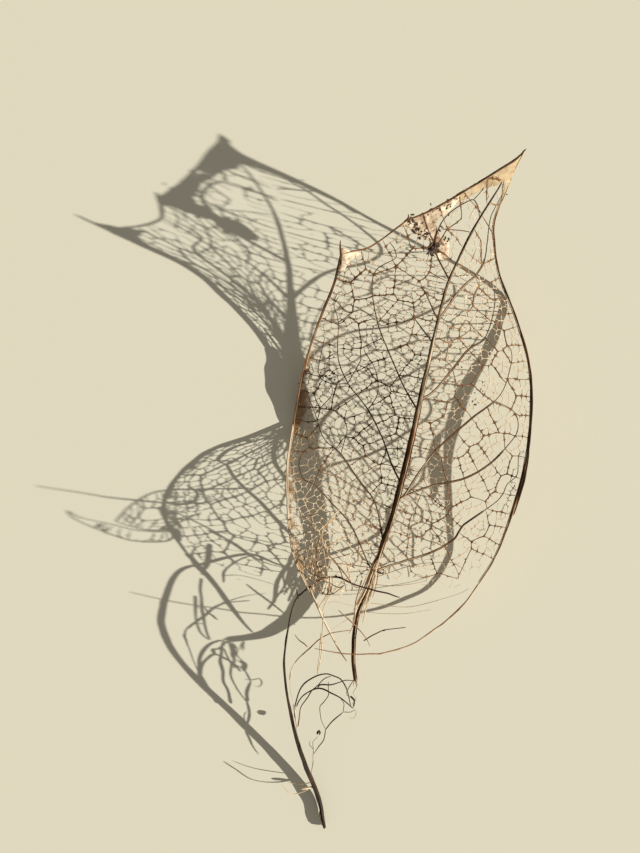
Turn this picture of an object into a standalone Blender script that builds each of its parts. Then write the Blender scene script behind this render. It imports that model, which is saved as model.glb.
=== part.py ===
"""A skeletonised holly leaf, lying curled on a flat surface.

Only the woody parts of the leaf are left: the leaf stalk, the midrib, the side veins, the thick
margin with its three spines, and the net of small veins between them. It all grew as one piece,
so it is one object. Lengths are millimetres until the mesh is made, and then metres.
Seen from above, +X is to the right of the leaf and +Y runs from the foot of the stalk to the apex.
"""

import math
import random

import bmesh
import bpy
import numpy as np
from mathutils.geometry import delaunay_2d_cdt

MM = 0.001

# Widths of the veins, and the depth of each kind through the leaf.
MARGIN_WIDTH = 0.44
MIDRIB_WIDTH = 0.78
MIDRIB_TIP_WIDTH = 0.30
SIDE_VEIN_WIDTH = 0.34
SIDE_VEIN_TIP_WIDTH = 0.24
NET_WIDTH = 0.20
STALK_WIDTH = 0.72
STALK_TOP_WIDTH = 0.34
FIBRE_WIDTH = 0.20
SPINE_TIP_WIDTH = 0.10
DEPTH_TO_WIDTH = 0.9
LEAST_DEPTH = 0.22
GREATEST_DEPTH = 0.78

# The net of small veins.
CELL_SIZE = 3.1
CELL_JITTER = 0.30
SNAP_TO_VEIN = 0.30
CURVE_STEP = 2.2
SHORTEST_EDGE = 0.55
REACH_TO_JOIN = 1.1
SEED = 11
LONGEST_MITRE = 2.2
MOST_OF_EDGE = 0.42
ON_BLADE = 0.01

# The midrib from its broken lower end to the apex, as (x, y, z).
MIDRIB = [
    (-6.0, -18.4, 6.2), (-6.0, -15.4, 4.7), (-5.5, -12.3, 3.7), (-4.2, -7.9, 2.9),
    (-3.0, -4.3, 3.5), (-1.6, 0.3, 4.5), (0.0, 7.2, 5.8), (1.0, 12.1, 6.6),
    (2.0, 16.9, 7.2), (2.8, 20.6, 7.6), (3.9, 24.8, 8.3), (6.1, 29.7, 10.1),
    (8.5, 33.8, 12.9), (9.6, 35.3, 14.3),
]
MIDRIB_IN_BLADE = 3

# The left margin, from the torn bottom of the blade up to the left corner.
LEFT_MARGIN = [
    (-11.3, -8.0, 6.6), (-12.6, -5.0, 7.0), (-13.1, -2.4, 7.0), (-13.4, 1.0, 6.1),
    (-13.5, 4.7, 4.3), (-13.2, 7.6, 1.9), (-12.8, 10.3, 0.22), (-12.2, 13.3, 0.35),
    (-11.3, 17.1, 2.0), (-10.5, 19.5, 3.4), (-9.5, 22.0, 5.4), (-8.4, 24.4, 7.9),
    (-7.7, 26.8, 12.6),
]
# The straight top edge, from the left corner past the middle spine to the apex.
TOP_EDGE = [
    (-7.7, 26.8, 12.6), (-6.2, 27.2, 12.2), (-5.0, 27.5, 12.0), (-3.6, 28.4, 11.7),
    (-1.7, 29.7, 12.6), (-0.9, 30.2, 13.1), (0.8, 30.8, 13.3), (4.0, 32.5, 13.7),
    (7.8, 34.7, 14.5), (9.6, 35.3, 14.3),
]
# The right margin, from the apex down to the torn bottom of the blade.
RIGHT_MARGIN = [
    (9.6, 35.3, 14.3), (9.5, 33.8, 11.6), (9.2, 31.9, 8.2), (9.7, 29.3, 3.5),
    (10.4, 27.2, 1.5), (11.8, 23.9, 0.33), (12.9, 20.4, 1.1), (13.7, 16.5, 2.2),
    (13.8, 12.6, 3.2), (13.4, 7.8, 3.8), (12.6, 3.4, 3.7), (11.1, -2.2, 2.9),
    (9.7, -5.9, 2.2), (8.1, -8.5, 2.0),
]
# The ragged line where the blade is torn away, from the left margin to the right margin.
TORN_EDGE = [
    (-11.3, -8.0), (-9.0, -7.2), (-7.3, -5.6), (-5.6, -7.4), (-4.2, -7.9),
    (-2.0, -7.2), (1.0, -6.4), (4.0, -6.6), (6.0, -7.6), (8.1, -8.5),
]

# The spine at each corner: where it leaves the margin, and its tip.
SPINES = [
    [(-7.7, 26.8, 12.6), (-7.8, 27.3, 13.5), (-7.8, 27.8, 14.4)],
    [(-0.9, 30.2, 13.1), (-0.9, 30.6, 13.2)],
    [(9.6, 35.3, 14.3), (10.1, 36.0, 14.8), (10.6, 36.8, 15.2)],
]

# The side veins, as (x, y): the plate of the blade gives their height.
SIDE_VEINS = [
    [(-3.9, -6.9), (-4.4, -6.2), (-6.4, -1.7), (-8.6, 0.9), (-10.5, 2.9), (-11.7, 3.5),
     (-12.1, 5.6), (-10.5, 7.5)],
    [(-10.5, 2.9), (-9.9, 4.3)],
    [(-2.9, -4.0), (-3.0, -2.6), (-3.8, 0.9), (-5.6, 3.4), (-7.5, 6.2), (-9.4, 7.9),
     (-10.4, 10.7), (-11.2, 12.7)],
    [(-10.4, 10.7), (-8.5, 12.8), (-8.6, 14.0)],
    [(-7.5, 6.2), (-6.8, 8.8), (-7.1, 10.0), (-6.8, 11.1)],
    [(-0.9, 2.9), (-1.9, 4.9), (-3.0, 8.0), (-4.5, 11.1), (-6.7, 14.1), (-7.8, 17.0),
     (-7.8, 20.7), (-8.3, 22.5), (-7.8, 23.3)],
    [(-6.7, 14.1), (-5.3, 16.7), (-5.3, 17.8), (-3.2, 18.8)],
    [(-6.7, 14.1), (-8.5, 14.1), (-10.0, 15.3), (-9.3, 19.2)],
    [(-4.5, 11.1), (-3.5, 12.8), (-3.6, 15.0), (-4.2, 16.5)],
    [(-7.8, 20.7), (-5.6, 21.9), (-3.8, 20.8)],
    [(0.8, 10.9), (-0.6, 13.3), (-2.2, 17.0), (-3.7, 20.9), (-4.2, 25.2), (-1.9, 26.9),
     (-2.7, 28.3)],
    [(2.3, 18.2), (-0.2, 21.4)],
    [(2.8, 20.6), (1.2, 23.7)],
    [(3.9, 24.8), (2.1, 27.8), (2.9, 30.5), (5.8, 32.3), (6.8, 31.0)],
    [(5.8, 32.3), (6.8, 33.4)],
    [(2.6, 29.5), (6.0, 29.5)],
    [(-3.8, -7.0), (-2.2, -6.4), (2.6, -4.8), (5.2, -3.2), (6.0, -1.8), (9.9, 1.1),
     (10.9, 2.9), (12.0, 3.9), (12.1, 6.1)],
    [(-1.5, 0.8), (-0.6, 1.5), (2.3, 2.7), (6.1, 3.6), (8.7, 5.1), (10.7, 7.0), (11.9, 8.6),
     (12.0, 10.0), (11.3, 11.1), (9.4, 12.0)],
    [(-0.6, 1.5), (1.2, 4.5), (3.2, 7.1), (6.6, 10.1), (10.0, 12.8), (11.6, 17.0), (10.9, 18.8)],
    [(1.0, 12.1), (2.7, 13.3), (6.1, 17.4), (8.4, 19.1), (9.8, 22.7), (9.8, 24.8)],
    [(2.8, 20.6), (5.2, 23.9), (7.2, 25.8), (8.2, 27.6), (8.3, 29.7), (8.3, 31.4), (9.0, 33.2)],
]

# Half the depth of the stalk's foot, so that its underside lies on the ground.
FOOT_HEIGHT = STALK_WIDTH * DEPTH_TO_WIDTH / 2
# The stalk from its foot, bowed out to the left and thinning into the strip that was torn out
# of the midrib, which rejoins it a little above the tear.
STALK = [
    (-9.6, -36.75, FOOT_HEIGHT), (-9.7, -35.9, FOOT_HEIGHT), (-9.9, -34.9, FOOT_HEIGHT), (-10.4, -32.6, 0.8),
    (-11.5, -29.5, 1.5), (-12.5, -25.8, 2.9), (-13.4, -19.5, 5.5), (-13.7, -15.4, 6.4),
    (-13.1, -11.6, 6.2), (-12.2, -9.2, 5.3), (-10.8, -7.9, 4.7), (-9.2, -7.4, 4.2),
    (-7.4, -7.7, 3.5), (-5.6, -8.5, 3.1), (-4.6, -9.2, 3.0),
]
SPLINTER = [(-9.9, -34.9, FOOT_HEIGHT), (-9.4, -36.0, 0.35), (-8.9, -36.8, 0.4)]

# What is left of each margin below the tear: two stiff threads that stand clear of the midrib.
LEFT_THREAD = [
    (-11.3, -8.0, 6.6), (-10.8, -8.9, 6.4), (-9.5, -11.7, 5.8), (-8.0, -14.7, 5.4),
    (-6.9, -16.5, 5.1),
]
RIGHT_THREAD = [
    (8.1, -8.5, 2.0), (6.6, -10.5, 2.2), (4.6, -12.3, 2.9), (2.8, -13.4, 3.5), (0.9, -14.5, 4.5),
    (-1.0, -15.0, 5.6), (-2.8, -15.1, 7.0), (-4.3, -15.0, 8.0), (-7.4, -14.6, 9.4),
    (-10.4, -13.9, 10.2),
]

# A torn flap of the net that stands up at the lower left, as two edges that meet at its tip, the
# threads that join them, and one long stiff fibre beside it that ends in the air.
FLAP_EDGES = [
    [(-12.1, -6.2, 6.9), (-10.7, -6.8, 7.7), (-9.3, -7.3, 9.1), (-8.0, -7.3, 11.5),
     (-7.1, -6.8, 15.0)],
    [(-6.8, -0.9, 4.9), (-7.6, -2.4, 7.4), (-7.7, -3.9, 10.1), (-7.4, -5.4, 12.6),
     (-7.1, -6.8, 15.0)],
]
FLAP_THREADS = 3
STANDING_FIBRE = [
    (-10.6, -2.2, 6.4), (-9.8, -3.3, 8.6), (-9.2, -3.8, 11.6), (-8.7, -4.1, 14.2),
    (-8.3, -4.3, 16.4),
]

# Fibres pulled out of the lower midrib and the stalk. The free ones end in the air.
FREE_FIBRES = [
    [(-10.6, -31.9, 0.75), (-12.0, -31.5, 1.9), (-13.2, -31.1, 3.1), (-14.0, -30.6, 3.4)],
    [(-12.7, -23.6, 3.8), (-11.9, -21.6, 4.3), (-10.2, -20.5, 4.4), (-8.3, -20.6, 4.3),
     (-6.7, -21.9, 3.9)],
]
JOINED_FIBRES = [
    [(-12.9, -22.6, 4.0), (-12.2, -19.8, 4.9), (-10.7, -18.3, 5.4), (-8.8, -18.0, 5.9),
     (-7.4, -18.5, 6.1), (-6.0, -18.4, 6.2)],
    [(-11.5, -29.5, 1.5), (-9.6, -27.0, 1.2), (-9.9, -24.8, 2.6), (-10.7, -22.6, 3.8),
     (-10.2, -20.5, 4.4)],
]

COLOUR = (0.115, 0.066, 0.030, 1.0)
ROUGHNESS = 0.62


def smooth_curve(points, step):
    """Points about one step apart on a Catmull-Rom curve through the given points."""
    given = np.array(points, dtype=float)
    ends = np.vstack([2 * given[0] - given[1], given, 2 * given[-1] - given[-2]])
    curve = []
    for before, start, end, after in zip(ends, ends[1:], ends[2:], ends[3:]):
        parts = max(1, round(float(np.linalg.norm(end - start)) / step))
        for t in np.arange(parts) / parts:
            curve.append(0.5 * (2 * start + (end - before) * t
                                + (2 * before - 5 * start + 4 * end - after) * t ** 2
                                + (3 * start - before - 3 * end + after) * t ** 3))
    curve.append(given[-1])
    return np.array(curve)


class Plate:
    """The blade as a thin plate bent to pass through its margins and its midrib."""

    def __init__(self, stations):
        """Solve for the plate through the stations, each an (x, y, z) on the blade."""
        self.places = stations[:, :2]
        count = len(stations)
        gaps = self.places[:, None] - self.places[None, :]
        system = np.zeros((count + 3, count + 3))
        system[:count, :count] = self.bend(gaps)
        system[:count, count] = 1.0
        system[:count, count + 1:] = self.places
        system[count:, :count] = system[:count, count:].T
        heights = np.concatenate([stations[:, 2], np.zeros(3)])
        self.weights = np.linalg.solve(system, heights)

    @staticmethod
    def bend(gaps):
        """The bending of a thin plate at each offset from a point load."""
        squares = np.maximum((gaps ** 2).sum(axis=-1), 1e-9)
        return 0.5 * squares * np.log(squares)

    def height(self, x, y):
        """The plate's height over one point."""
        place = np.array([x, y])
        loads = self.bend(place - self.places)
        count = len(self.places)
        return float(loads @ self.weights[:count] + self.weights[count]
                     + place @ self.weights[count + 1:])


class Skeleton:
    """The veins as a drawing seen from above: points with a height, joined by edges."""

    def __init__(self):
        """Start with no veins."""
        self.points = []
        self.edges = {}

    def add_point(self, x, y, z):
        """Add a point and give its index."""
        self.points.append((x, y, z))
        return len(self.points) - 1

    def find_or_add(self, x, y, z):
        """The index of the nearest point in use, or of a new one if none is close enough."""
        in_use = sorted({index for edge in self.edges for index in edge})
        nearest = min(in_use, key=lambda index: math.dist(self.points[index], (x, y, z)))
        if math.dist(self.points[nearest], (x, y, z)) < REACH_TO_JOIN:
            return nearest
        return self.add_point(x, y, z)

    def add_edge(self, start, end, half_width):
        """Join two points with a vein, keeping the wider one where there are two."""
        if start != end:
            key = (min(start, end), max(start, end))
            self.edges[key] = max(half_width, self.edges.get(key, 0.0))

    def neighbours(self):
        """For each point, its neighbours in order of direction, anticlockwise."""
        around = {index: [] for index in range(len(self.points))}
        for start, end in self.edges:
            around[start].append(end)
            around[end].append(start)
        for index, others in around.items():
            x, y, _ = self.points[index]
            others.sort(key=lambda other: math.atan2(self.points[other][1] - y,
                                                     self.points[other][0] - x))
        return around

    def half_width(self, start, end):
        """Half the width of the vein between two points."""
        return self.edges[(min(start, end), max(start, end))]

    def drop_stubs(self):
        """Take off thin veins that end in the air, until none is left."""
        thinnest = 0.6 * NET_WIDTH
        while True:
            around = self.neighbours()
            stubs = [(min(index, others[0]), max(index, others[0]))
                     for index, others in around.items()
                     if len(others) == 1 and self.half_width(index, others[0]) < thinnest]
            if not stubs:
                return
            for key in set(stubs):
                del self.edges[key]

    def weld_short_edges(self, shortest):
        """Draw the two ends of each very short vein together, moving the end of the thinner one."""
        widest = [0.0] * len(self.points)
        for (start, end), half_width in self.edges.items():
            widest[start] = max(widest[start], half_width)
            widest[end] = max(widest[end], half_width)
        stands_for = list(range(len(self.points)))

        def root(index):
            while stands_for[index] != index:
                index = stands_for[index]
            return index

        for start, end in sorted(self.edges):
            if math.dist(self.points[start], self.points[end]) < shortest:
                first, second = root(start), root(end)
                if widest[first] < widest[second]:
                    first, second = second, first
                stands_for[second] = first
        welded = {}
        for (start, end), half_width in self.edges.items():
            first, second = root(start), root(end)
            if first != second:
                key = (min(first, second), max(first, second))
                welded[key] = max(half_width, welded.get(key, 0.0))
        self.edges = welded


def inside(outline, x, y):
    """Whether a point lies inside a closed outline."""
    within = False
    for (ax, ay), (bx, by) in zip(outline, np.roll(outline, -1, axis=0)):
        if (ay > y) != (by > y) and x < ax + (y - ay) / (by - ay) * (bx - ax):
            within = not within
    return within


def nearest_on_vein(vein, x, y):
    """The point of a vein nearest to a place, and how far away it is."""
    start = vein[:-1, :2]
    run = vein[1:, :2] - start
    share = ((np.array([x, y]) - start) * run).sum(axis=1) / (run ** 2).sum(axis=1)
    feet = start + np.clip(share, 0.0, 1.0)[:, None] * run
    gaps = np.hypot(feet[:, 0] - x, feet[:, 1] - y)
    best = int(gaps.argmin())
    return feet[best], float(gaps[best])


def cell_centres(veins, outline, size, chance):
    """One centre for each cell of the net.

    Pairs stand either side of every vein, so that cell walls fall along it. The rest fill in.
    """
    centres = []

    def far_enough(x, y, gap):
        return all(math.hypot(x - cx, y - cy) > gap for cx, cy in centres)

    for vein in veins:
        along = smooth_curve(vein[:, :2], size * 0.8)
        for start, end in zip(along, along[1:]):
            run = end - start
            across = np.array([-run[1], run[0]]) / np.hypot(*run)
            middle = start + run * chance.uniform(0.35, 0.65)
            offset = size * chance.uniform(0.42, 0.55)
            pair = [middle + across * offset, middle - across * offset]
            if all(far_enough(x, y, size * 0.55) for x, y in pair):
                centres.extend((x, y) for x, y in pair)
    low, high = outline.min(axis=0), outline.max(axis=0)
    row_gap = size * math.sqrt(0.75)
    for row in range(int((high[1] - low[1]) / row_gap) + 1):
        for column in range(int((high[0] - low[0]) / size) + 1):
            x = low[0] + (column + 0.5 * (row % 2) + chance.uniform(-1, 1) * CELL_JITTER) * size
            y = low[1] + row * row_gap + chance.uniform(-1, 1) * CELL_JITTER * size
            if inside(outline, x, y) and far_enough(x, y, size * 0.72):
                centres.append((x, y))
    return centres


def middle_of_circle(a, b, c):
    """The centre of the circle through three points."""
    ax, ay = a[0] - c[0], a[1] - c[1]
    bx, by = b[0] - c[0], b[1] - c[1]
    cross = 2 * (ax * by - ay * bx)
    first, second = ax * ax + ay * ay, bx * bx + by * by
    return (c[0] + (by * first - ay * second) / cross, c[1] + (ax * second - bx * first) / cross)


def cell_walls(centres):
    """The walls between the cells: each joins the middles of two neighbouring triangles."""
    _, _, triangles, *_ = delaunay_2d_cdt([(x, y) for x, y in centres], [], [], 0, 1e-6)
    middles = []
    shared = {}
    for index, triangle in enumerate(triangles):
        middles.append(middle_of_circle(*(centres[corner] for corner in triangle)))
        for first, second in zip(triangle, triangle[1:] + triangle[:1]):
            shared.setdefault((min(first, second), max(first, second)), []).append(index)
    walls = [pair for pair in shared.values() if len(pair) == 2]
    return middles, sorted(walls)


def net_walls(veins, outline, size, chance):
    """The small veins of the net as pairs of (x, y) ends, each lying in the blade."""
    middles, walls = cell_walls(cell_centres(veins, outline, size, chance))
    ends = []
    for x, y in middles:
        feet = [nearest_on_vein(vein, x, y) for vein in veins]
        closest = min(range(len(veins)), key=lambda index: feet[index][1])
        foot, gap = feet[closest]
        on_vein = gap < SNAP_TO_VEIN * size
        place = tuple(foot) if on_vein else (x, y)
        ends.append((place, closest if on_vein else None, on_vein or inside(outline, x, y)))
    net = []
    for first, second in walls:
        (start, start_vein, start_in), (end, end_vein, end_in) = ends[first], ends[second]
        along_vein = start_vein is not None and start_vein == end_vein
        middle = [(s + e) / 2 for s, e in zip(start, end)]
        if start_in and end_in and not along_vein and inside(outline, *middle):
            net.append((start, end))
    return net


def tapered(curve, start_width, end_width):
    """Half the width of each stretch of a curve, thinning evenly from one end to the other."""
    stretches = len(curve) - 1
    return [0.5 * (start_width + (end_width - start_width) * (index + 0.5) / stretches)
            for index in range(stretches)]


def blade_veins():
    """Each large vein of the blade as a curve, with the half widths of its stretches."""
    veins = []
    for points, start_width, end_width in (
            (MIDRIB[MIDRIB_IN_BLADE:], MIDRIB_WIDTH, MIDRIB_TIP_WIDTH),
            (LEFT_MARGIN, MARGIN_WIDTH * 0.8, MARGIN_WIDTH),
            (TOP_EDGE, MARGIN_WIDTH, MARGIN_WIDTH),
            (RIGHT_MARGIN, MARGIN_WIDTH, MARGIN_WIDTH)):
        curve = smooth_curve(points, CURVE_STEP)
        veins.append((curve, tapered(curve, start_width, end_width)))
    for points in SIDE_VEINS:
        curve = smooth_curve(points, CURVE_STEP)
        veins.append((curve, tapered(curve, SIDE_VEIN_WIDTH, SIDE_VEIN_TIP_WIDTH)))
    return veins


def lay_out_blade(skeleton, plate):
    """Draw the blade's veins and its net, with a point wherever two of them cross."""
    veins = blade_veins()
    curves = [curve for curve, _ in veins]
    rim = [curves[1][:-1, :2], curves[2][:-1, :2], curves[3][:, :2],
           np.array(TORN_EDGE[::-1])[1:-1]]
    outline = np.vstack(rim)
    chance = random.Random(SEED)
    corners, segments, half_widths = [], [], []
    for curve, widths in veins:
        first = len(corners)
        corners.extend((x, y) for x, y in curve[:, :2])
        for offset, half_width in enumerate(widths):
            segments.append((first + offset, first + offset + 1))
            half_widths.append(half_width)
    for start, end in net_walls(curves, outline, CELL_SIZE, chance):
        segments.append((len(corners), len(corners) + 1))
        corners.extend((start, end))
        half_widths.append(NET_WIDTH / 2)
    places, edges, _, _, from_segments, _ = delaunay_2d_cdt(corners, segments, [], 2, 0.02)
    indices = [skeleton.add_point(x, y, plate.height(x, y)) for x, y in places]
    for (start, end), sources in zip(edges, from_segments):
        if not sources:
            continue
        skeleton.add_edge(indices[start], indices[end],
                          max(half_widths[source] for source in sources))
    skeleton.weld_short_edges(SHORTEST_EDGE)
    skeleton.drop_stubs()


def add_thread(skeleton, points, start_width, end_width, joins_at_end=False):
    """Add a thread that stands free of the blade and starts from the vein nearest to it."""
    curve = smooth_curve(points, CURVE_STEP)
    indices = [skeleton.find_or_add(*curve[0])]
    indices.extend(skeleton.add_point(*place) for place in curve[1:-1])
    add_last = skeleton.find_or_add if joins_at_end else skeleton.add_point
    indices.append(add_last(*curve[-1]))
    for start, end, half_width in zip(indices, indices[1:], tapered(curve, start_width, end_width)):
        skeleton.add_edge(start, end, half_width)


def add_flap(skeleton):
    """Add the torn flap that stands up from the blade, and the long fibre beside it."""
    for edge in FLAP_EDGES:
        add_thread(skeleton, edge, FIBRE_WIDTH * 1.2, FIBRE_WIDTH, joins_at_end=True)
    for rung in range(1, FLAP_THREADS + 1):
        add_thread(skeleton, [edge[rung] for edge in FLAP_EDGES], FIBRE_WIDTH, FIBRE_WIDTH,
                   joins_at_end=True)
    add_thread(skeleton, STANDING_FIBRE, FIBRE_WIDTH * 1.2, SPINE_TIP_WIDTH)


def meeting_point(place, first, second, first_half, second_half, turn, reach):
    """Where the near sides of two veins meet, as (x, y).

    The veins leave the place in the directions first and second, which is a turn further round.
    The point is drawn in to the reach where they meet at a sharp angle.
    """
    side = np.array([-first[1], first[0]])
    if abs(math.sin(turn)) < 0.12 and math.cos(turn) < 0.0:
        away = side * (first_half + second_half) / 2
    elif abs(math.sin(turn)) < 0.02:
        away = (first + second) / 2 * reach
    else:
        along = (second_half + first_half * math.cos(turn)) / math.sin(turn)
        away = side * first_half + first * along
    length = float(np.hypot(*away))
    if length > reach:
        away = away * (reach / length)
    return place + away


def corners_round(skeleton, index, others):
    """The corners of the strips round one point, in order of direction, as (x, y).

    The corner at each place in the list is to the left of the vein to that neighbour. A vein that
    ends here has two, its left and its right.
    """
    place = np.array(skeleton.points[index][:2])
    runs = [np.array(skeleton.points[other][:2]) - place for other in others]
    lengths = [float(np.hypot(*run)) for run in runs]
    ways = [run / length for run, length in zip(runs, lengths)]
    halves = [skeleton.half_width(index, other) for other in others]
    if len(others) == 1:
        across = np.array([-ways[0][1], ways[0][0]]) * halves[0]
        return [place + across, place - across]
    corners = []
    for first in range(len(others)):
        second = (first + 1) % len(others)
        cross = ways[first][0] * ways[second][1] - ways[first][1] * ways[second][0]
        turn = math.atan2(cross, float(ways[first] @ ways[second])) % (2 * math.pi)
        if turn > math.pi:
            reach = LONGEST_MITRE * max(halves[first], halves[second])
        else:
            reach = MOST_OF_EDGE * min(lengths[first], lengths[second])
        corners.append(meeting_point(place, ways[first], ways[second], halves[first],
                                     halves[second], turn, reach))
    return corners


def make_strips(skeleton, plate):
    """A mesh of flat strips along the veins, mitred where they meet, at the veins' heights."""
    mesh = bmesh.new()
    depth_layer = mesh.verts.layers.deform.verify()
    corner = {}
    for index, others in skeleton.neighbours().items():
        if not others:
            continue
        x, y, z = skeleton.points[index]
        widest = 2 * max(skeleton.half_width(index, other) for other in others)
        depth = min(max(widest * DEPTH_TO_WIDTH, LEAST_DEPTH), GREATEST_DEPTH)
        on_blade = abs(plate.height(x, y) - z) < ON_BLADE
        made = []
        for spot in corners_round(skeleton, index, others):
            height = plate.height(*spot) if on_blade else z
            vert = mesh.verts.new((spot[0] * MM, spot[1] * MM, height * MM))
            vert[depth_layer][0] = depth / GREATEST_DEPTH
            made.append(vert)
        for side, other in enumerate(others):
            corner[index, other, "left"] = made[side]
            corner[index, other, "right"] = made[side - 1]
        if len(others) > 2:
            mesh.faces.new(made)
    for start, end in skeleton.edges:
        mesh.faces.new((corner[start, end, "right"], corner[end, start, "left"],
                        corner[end, start, "right"], corner[start, end, "left"]))
    return mesh


def holly_wood():
    """The brown woody fibre that all the veins are made of."""
    material = bpy.data.materials.new("holly_wood")
    material.use_nodes = True
    shader = material.node_tree.nodes["Principled BSDF"]
    shader.inputs["Base Color"].default_value = COLOUR
    shader.inputs["Roughness"].default_value = ROUGHNESS
    shader.inputs["Metallic"].default_value = 0.0
    return material


def make_leaf():
    """Build the whole leaf skeleton as one object standing on the ground plane."""
    stations = np.array(MIDRIB[MIDRIB_IN_BLADE:] + LEFT_MARGIN + TOP_EDGE[1:-1] + RIGHT_MARGIN[1:])
    plate = Plate(stations)
    skeleton = Skeleton()
    lay_out_blade(skeleton, plate)
    add_thread(skeleton, MIDRIB[MIDRIB_IN_BLADE::-1], MIDRIB_WIDTH, MIDRIB_WIDTH * 0.6)
    add_thread(skeleton, STALK, STALK_WIDTH, STALK_TOP_WIDTH, joins_at_end=True)
    add_thread(skeleton, SPLINTER, FIBRE_WIDTH * 1.5, FIBRE_WIDTH)
    add_thread(skeleton, LEFT_THREAD, MARGIN_WIDTH * 0.8, MARGIN_WIDTH * 0.5)
    add_thread(skeleton, RIGHT_THREAD, MARGIN_WIDTH, FIBRE_WIDTH)
    for spine in SPINES:
        add_thread(skeleton, spine, MARGIN_WIDTH * 1.3, SPINE_TIP_WIDTH)
    for fibre in FREE_FIBRES:
        add_thread(skeleton, fibre, FIBRE_WIDTH, FIBRE_WIDTH)
    for fibre in JOINED_FIBRES:
        add_thread(skeleton, fibre, FIBRE_WIDTH, FIBRE_WIDTH, joins_at_end=True)
    add_flap(skeleton)
    strips = make_strips(skeleton, plate)
    data = bpy.data.meshes.new("leaf_skeleton")
    strips.to_mesh(data)
    strips.free()
    data.materials.append(holly_wood())
    leaf = bpy.data.objects.new("leaf_skeleton", data)
    bpy.context.scene.collection.objects.link(leaf)
    leaf.vertex_groups.new(name="depth")
    solidify = leaf.modifiers.new("depth", "SOLIDIFY")
    solidify.thickness = GREATEST_DEPTH * MM
    solidify.offset = 0.0
    solidify.vertex_group = "depth"
    return leaf


def main():
    """Clear the scene and build the leaf."""
    for old in list(bpy.data.objects):
        bpy.data.objects.remove(old, do_unlink=True)
    make_leaf()


main()
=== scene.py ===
"""The looks of a skeletonised holly leaf that lies curled on a pale surface.

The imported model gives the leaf's size and place. Every visible piece here is grown round the same
lines: the blade is a thin plate bent through its margins and midrib, and the veins, the net, the
torn threads and the scraps of dry skin all lie on that plate or spring from it. Lengths are in
millimetres until a mesh is made; meshes, finishes and the setting are in metres. Seen from above,
+X is to the right and +Y runs from the foot of the stalk to the apex.
"""

import logging
import math
import random
from dataclasses import dataclass, field
from enum import Enum
from typing import Callable, ClassVar, Iterable, Sequence

import bmesh
import bpy
import numpy as np
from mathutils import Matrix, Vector
from mathutils.geometry import delaunay_2d_cdt


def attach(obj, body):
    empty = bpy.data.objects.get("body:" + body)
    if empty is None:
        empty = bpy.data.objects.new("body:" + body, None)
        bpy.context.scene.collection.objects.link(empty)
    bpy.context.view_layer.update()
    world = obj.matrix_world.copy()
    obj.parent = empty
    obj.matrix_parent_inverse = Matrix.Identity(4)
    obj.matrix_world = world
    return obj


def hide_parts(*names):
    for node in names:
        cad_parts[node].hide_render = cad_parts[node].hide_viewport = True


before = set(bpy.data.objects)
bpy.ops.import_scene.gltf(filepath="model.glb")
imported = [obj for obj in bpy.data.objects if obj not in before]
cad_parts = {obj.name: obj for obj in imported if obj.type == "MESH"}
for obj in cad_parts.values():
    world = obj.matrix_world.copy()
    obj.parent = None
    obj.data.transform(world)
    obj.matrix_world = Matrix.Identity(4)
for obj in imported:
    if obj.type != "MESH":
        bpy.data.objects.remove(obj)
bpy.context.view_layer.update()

MM = 0.001
NODE = "leaf_skeleton"
log = logging.getLogger("leaf")

FLOOR_GAP = 0.01
TINY = 1e-9

Place = tuple[float, float]
Spot = tuple[float, float, float]
Range = tuple[float, float]


# ---------------------------------------------------------------------------------------------
# The lines of the leaf
# ---------------------------------------------------------------------------------------------

MIDRIB: list[Spot] = [
    (-6.0, -18.1, 6.9), (-6.15, -16.75, 5.0), (-6.1, -15.5, 4.15), (-6.0, -13.7, 3.3),
    (-5.4, -11.1, 2.85), (-4.5, -8.8, 2.85), (-3.7, -6.2, 3.1), (-3.0, -4.3, 3.5),
    (-1.6, 0.3, 4.5), (0.0, 7.2, 5.8), (1.0, 12.1, 6.6), (2.0, 16.9, 7.2), (2.8, 20.6, 7.6),
    (3.9, 24.8, 8.3), (6.1, 29.7, 10.1), (8.5, 33.8, 12.9), (9.6, 35.3, 14.3),
]
MIDRIB_IN_BLADE = 5
KEEL_TIP: Spot = (8.3, 34.3, 13.7)
LEFT_MARGIN: list[Spot] = [
    (-11.3, -8.0, 6.6), (-12.6, -5.0, 7.0), (-13.1, -2.4, 7.0), (-13.4, 1.0, 6.1),
    (-13.5, 4.7, 4.3), (-13.2, 7.6, 1.9), (-12.8, 10.3, 0.22), (-12.2, 13.3, 0.35),
    (-11.3, 17.1, 2.0), (-10.5, 19.5, 3.4), (-9.5, 22.0, 5.4), (-8.4, 24.4, 7.9),
    (-7.7, 26.8, 12.6),
]
TOP_EDGE: list[Spot] = [
    (-7.7, 26.8, 12.6), (-6.2, 27.2, 12.2), (-5.0, 27.5, 12.0), (-3.6, 28.4, 11.7),
    (-1.7, 29.7, 12.6), (-0.9, 30.2, 13.1), (0.8, 30.8, 13.3), (4.0, 32.5, 13.7),
    (7.8, 34.7, 14.5), (9.6, 35.8, 14.8),
]
RIGHT_MARGIN: list[Spot] = [
    (10.5, 36.6, 15.1), (9.8, 35.1, 13.7), (9.45, 33.5, 10.7), (9.1, 32.25, 8.4),
    (8.95, 31.0, 6.7), (9.3, 29.6, 5.0), (9.9, 27.9, 3.0), (10.7, 26.1, 1.2),
    (11.8, 23.9, 0.33), (12.9, 20.4, 1.1), (13.7, 16.5, 2.2), (13.8, 12.6, 3.2),
    (13.4, 7.8, 3.8), (12.6, 3.4, 3.7), (11.1, -2.2, 2.9), (9.7, -5.9, 2.2), (8.1, -8.5, 2.0),
]
TURNED_UP_EDGE: list[Spot] = [
    (13.35, 7.4, 4.2), (13.1, 5.6, 4.55), (12.8, 4.0, 4.55), (12.45, 2.4, 4.25),
    (12.0, 0.6, 4.1), (11.6, -0.6, 4.0),
]
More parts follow.
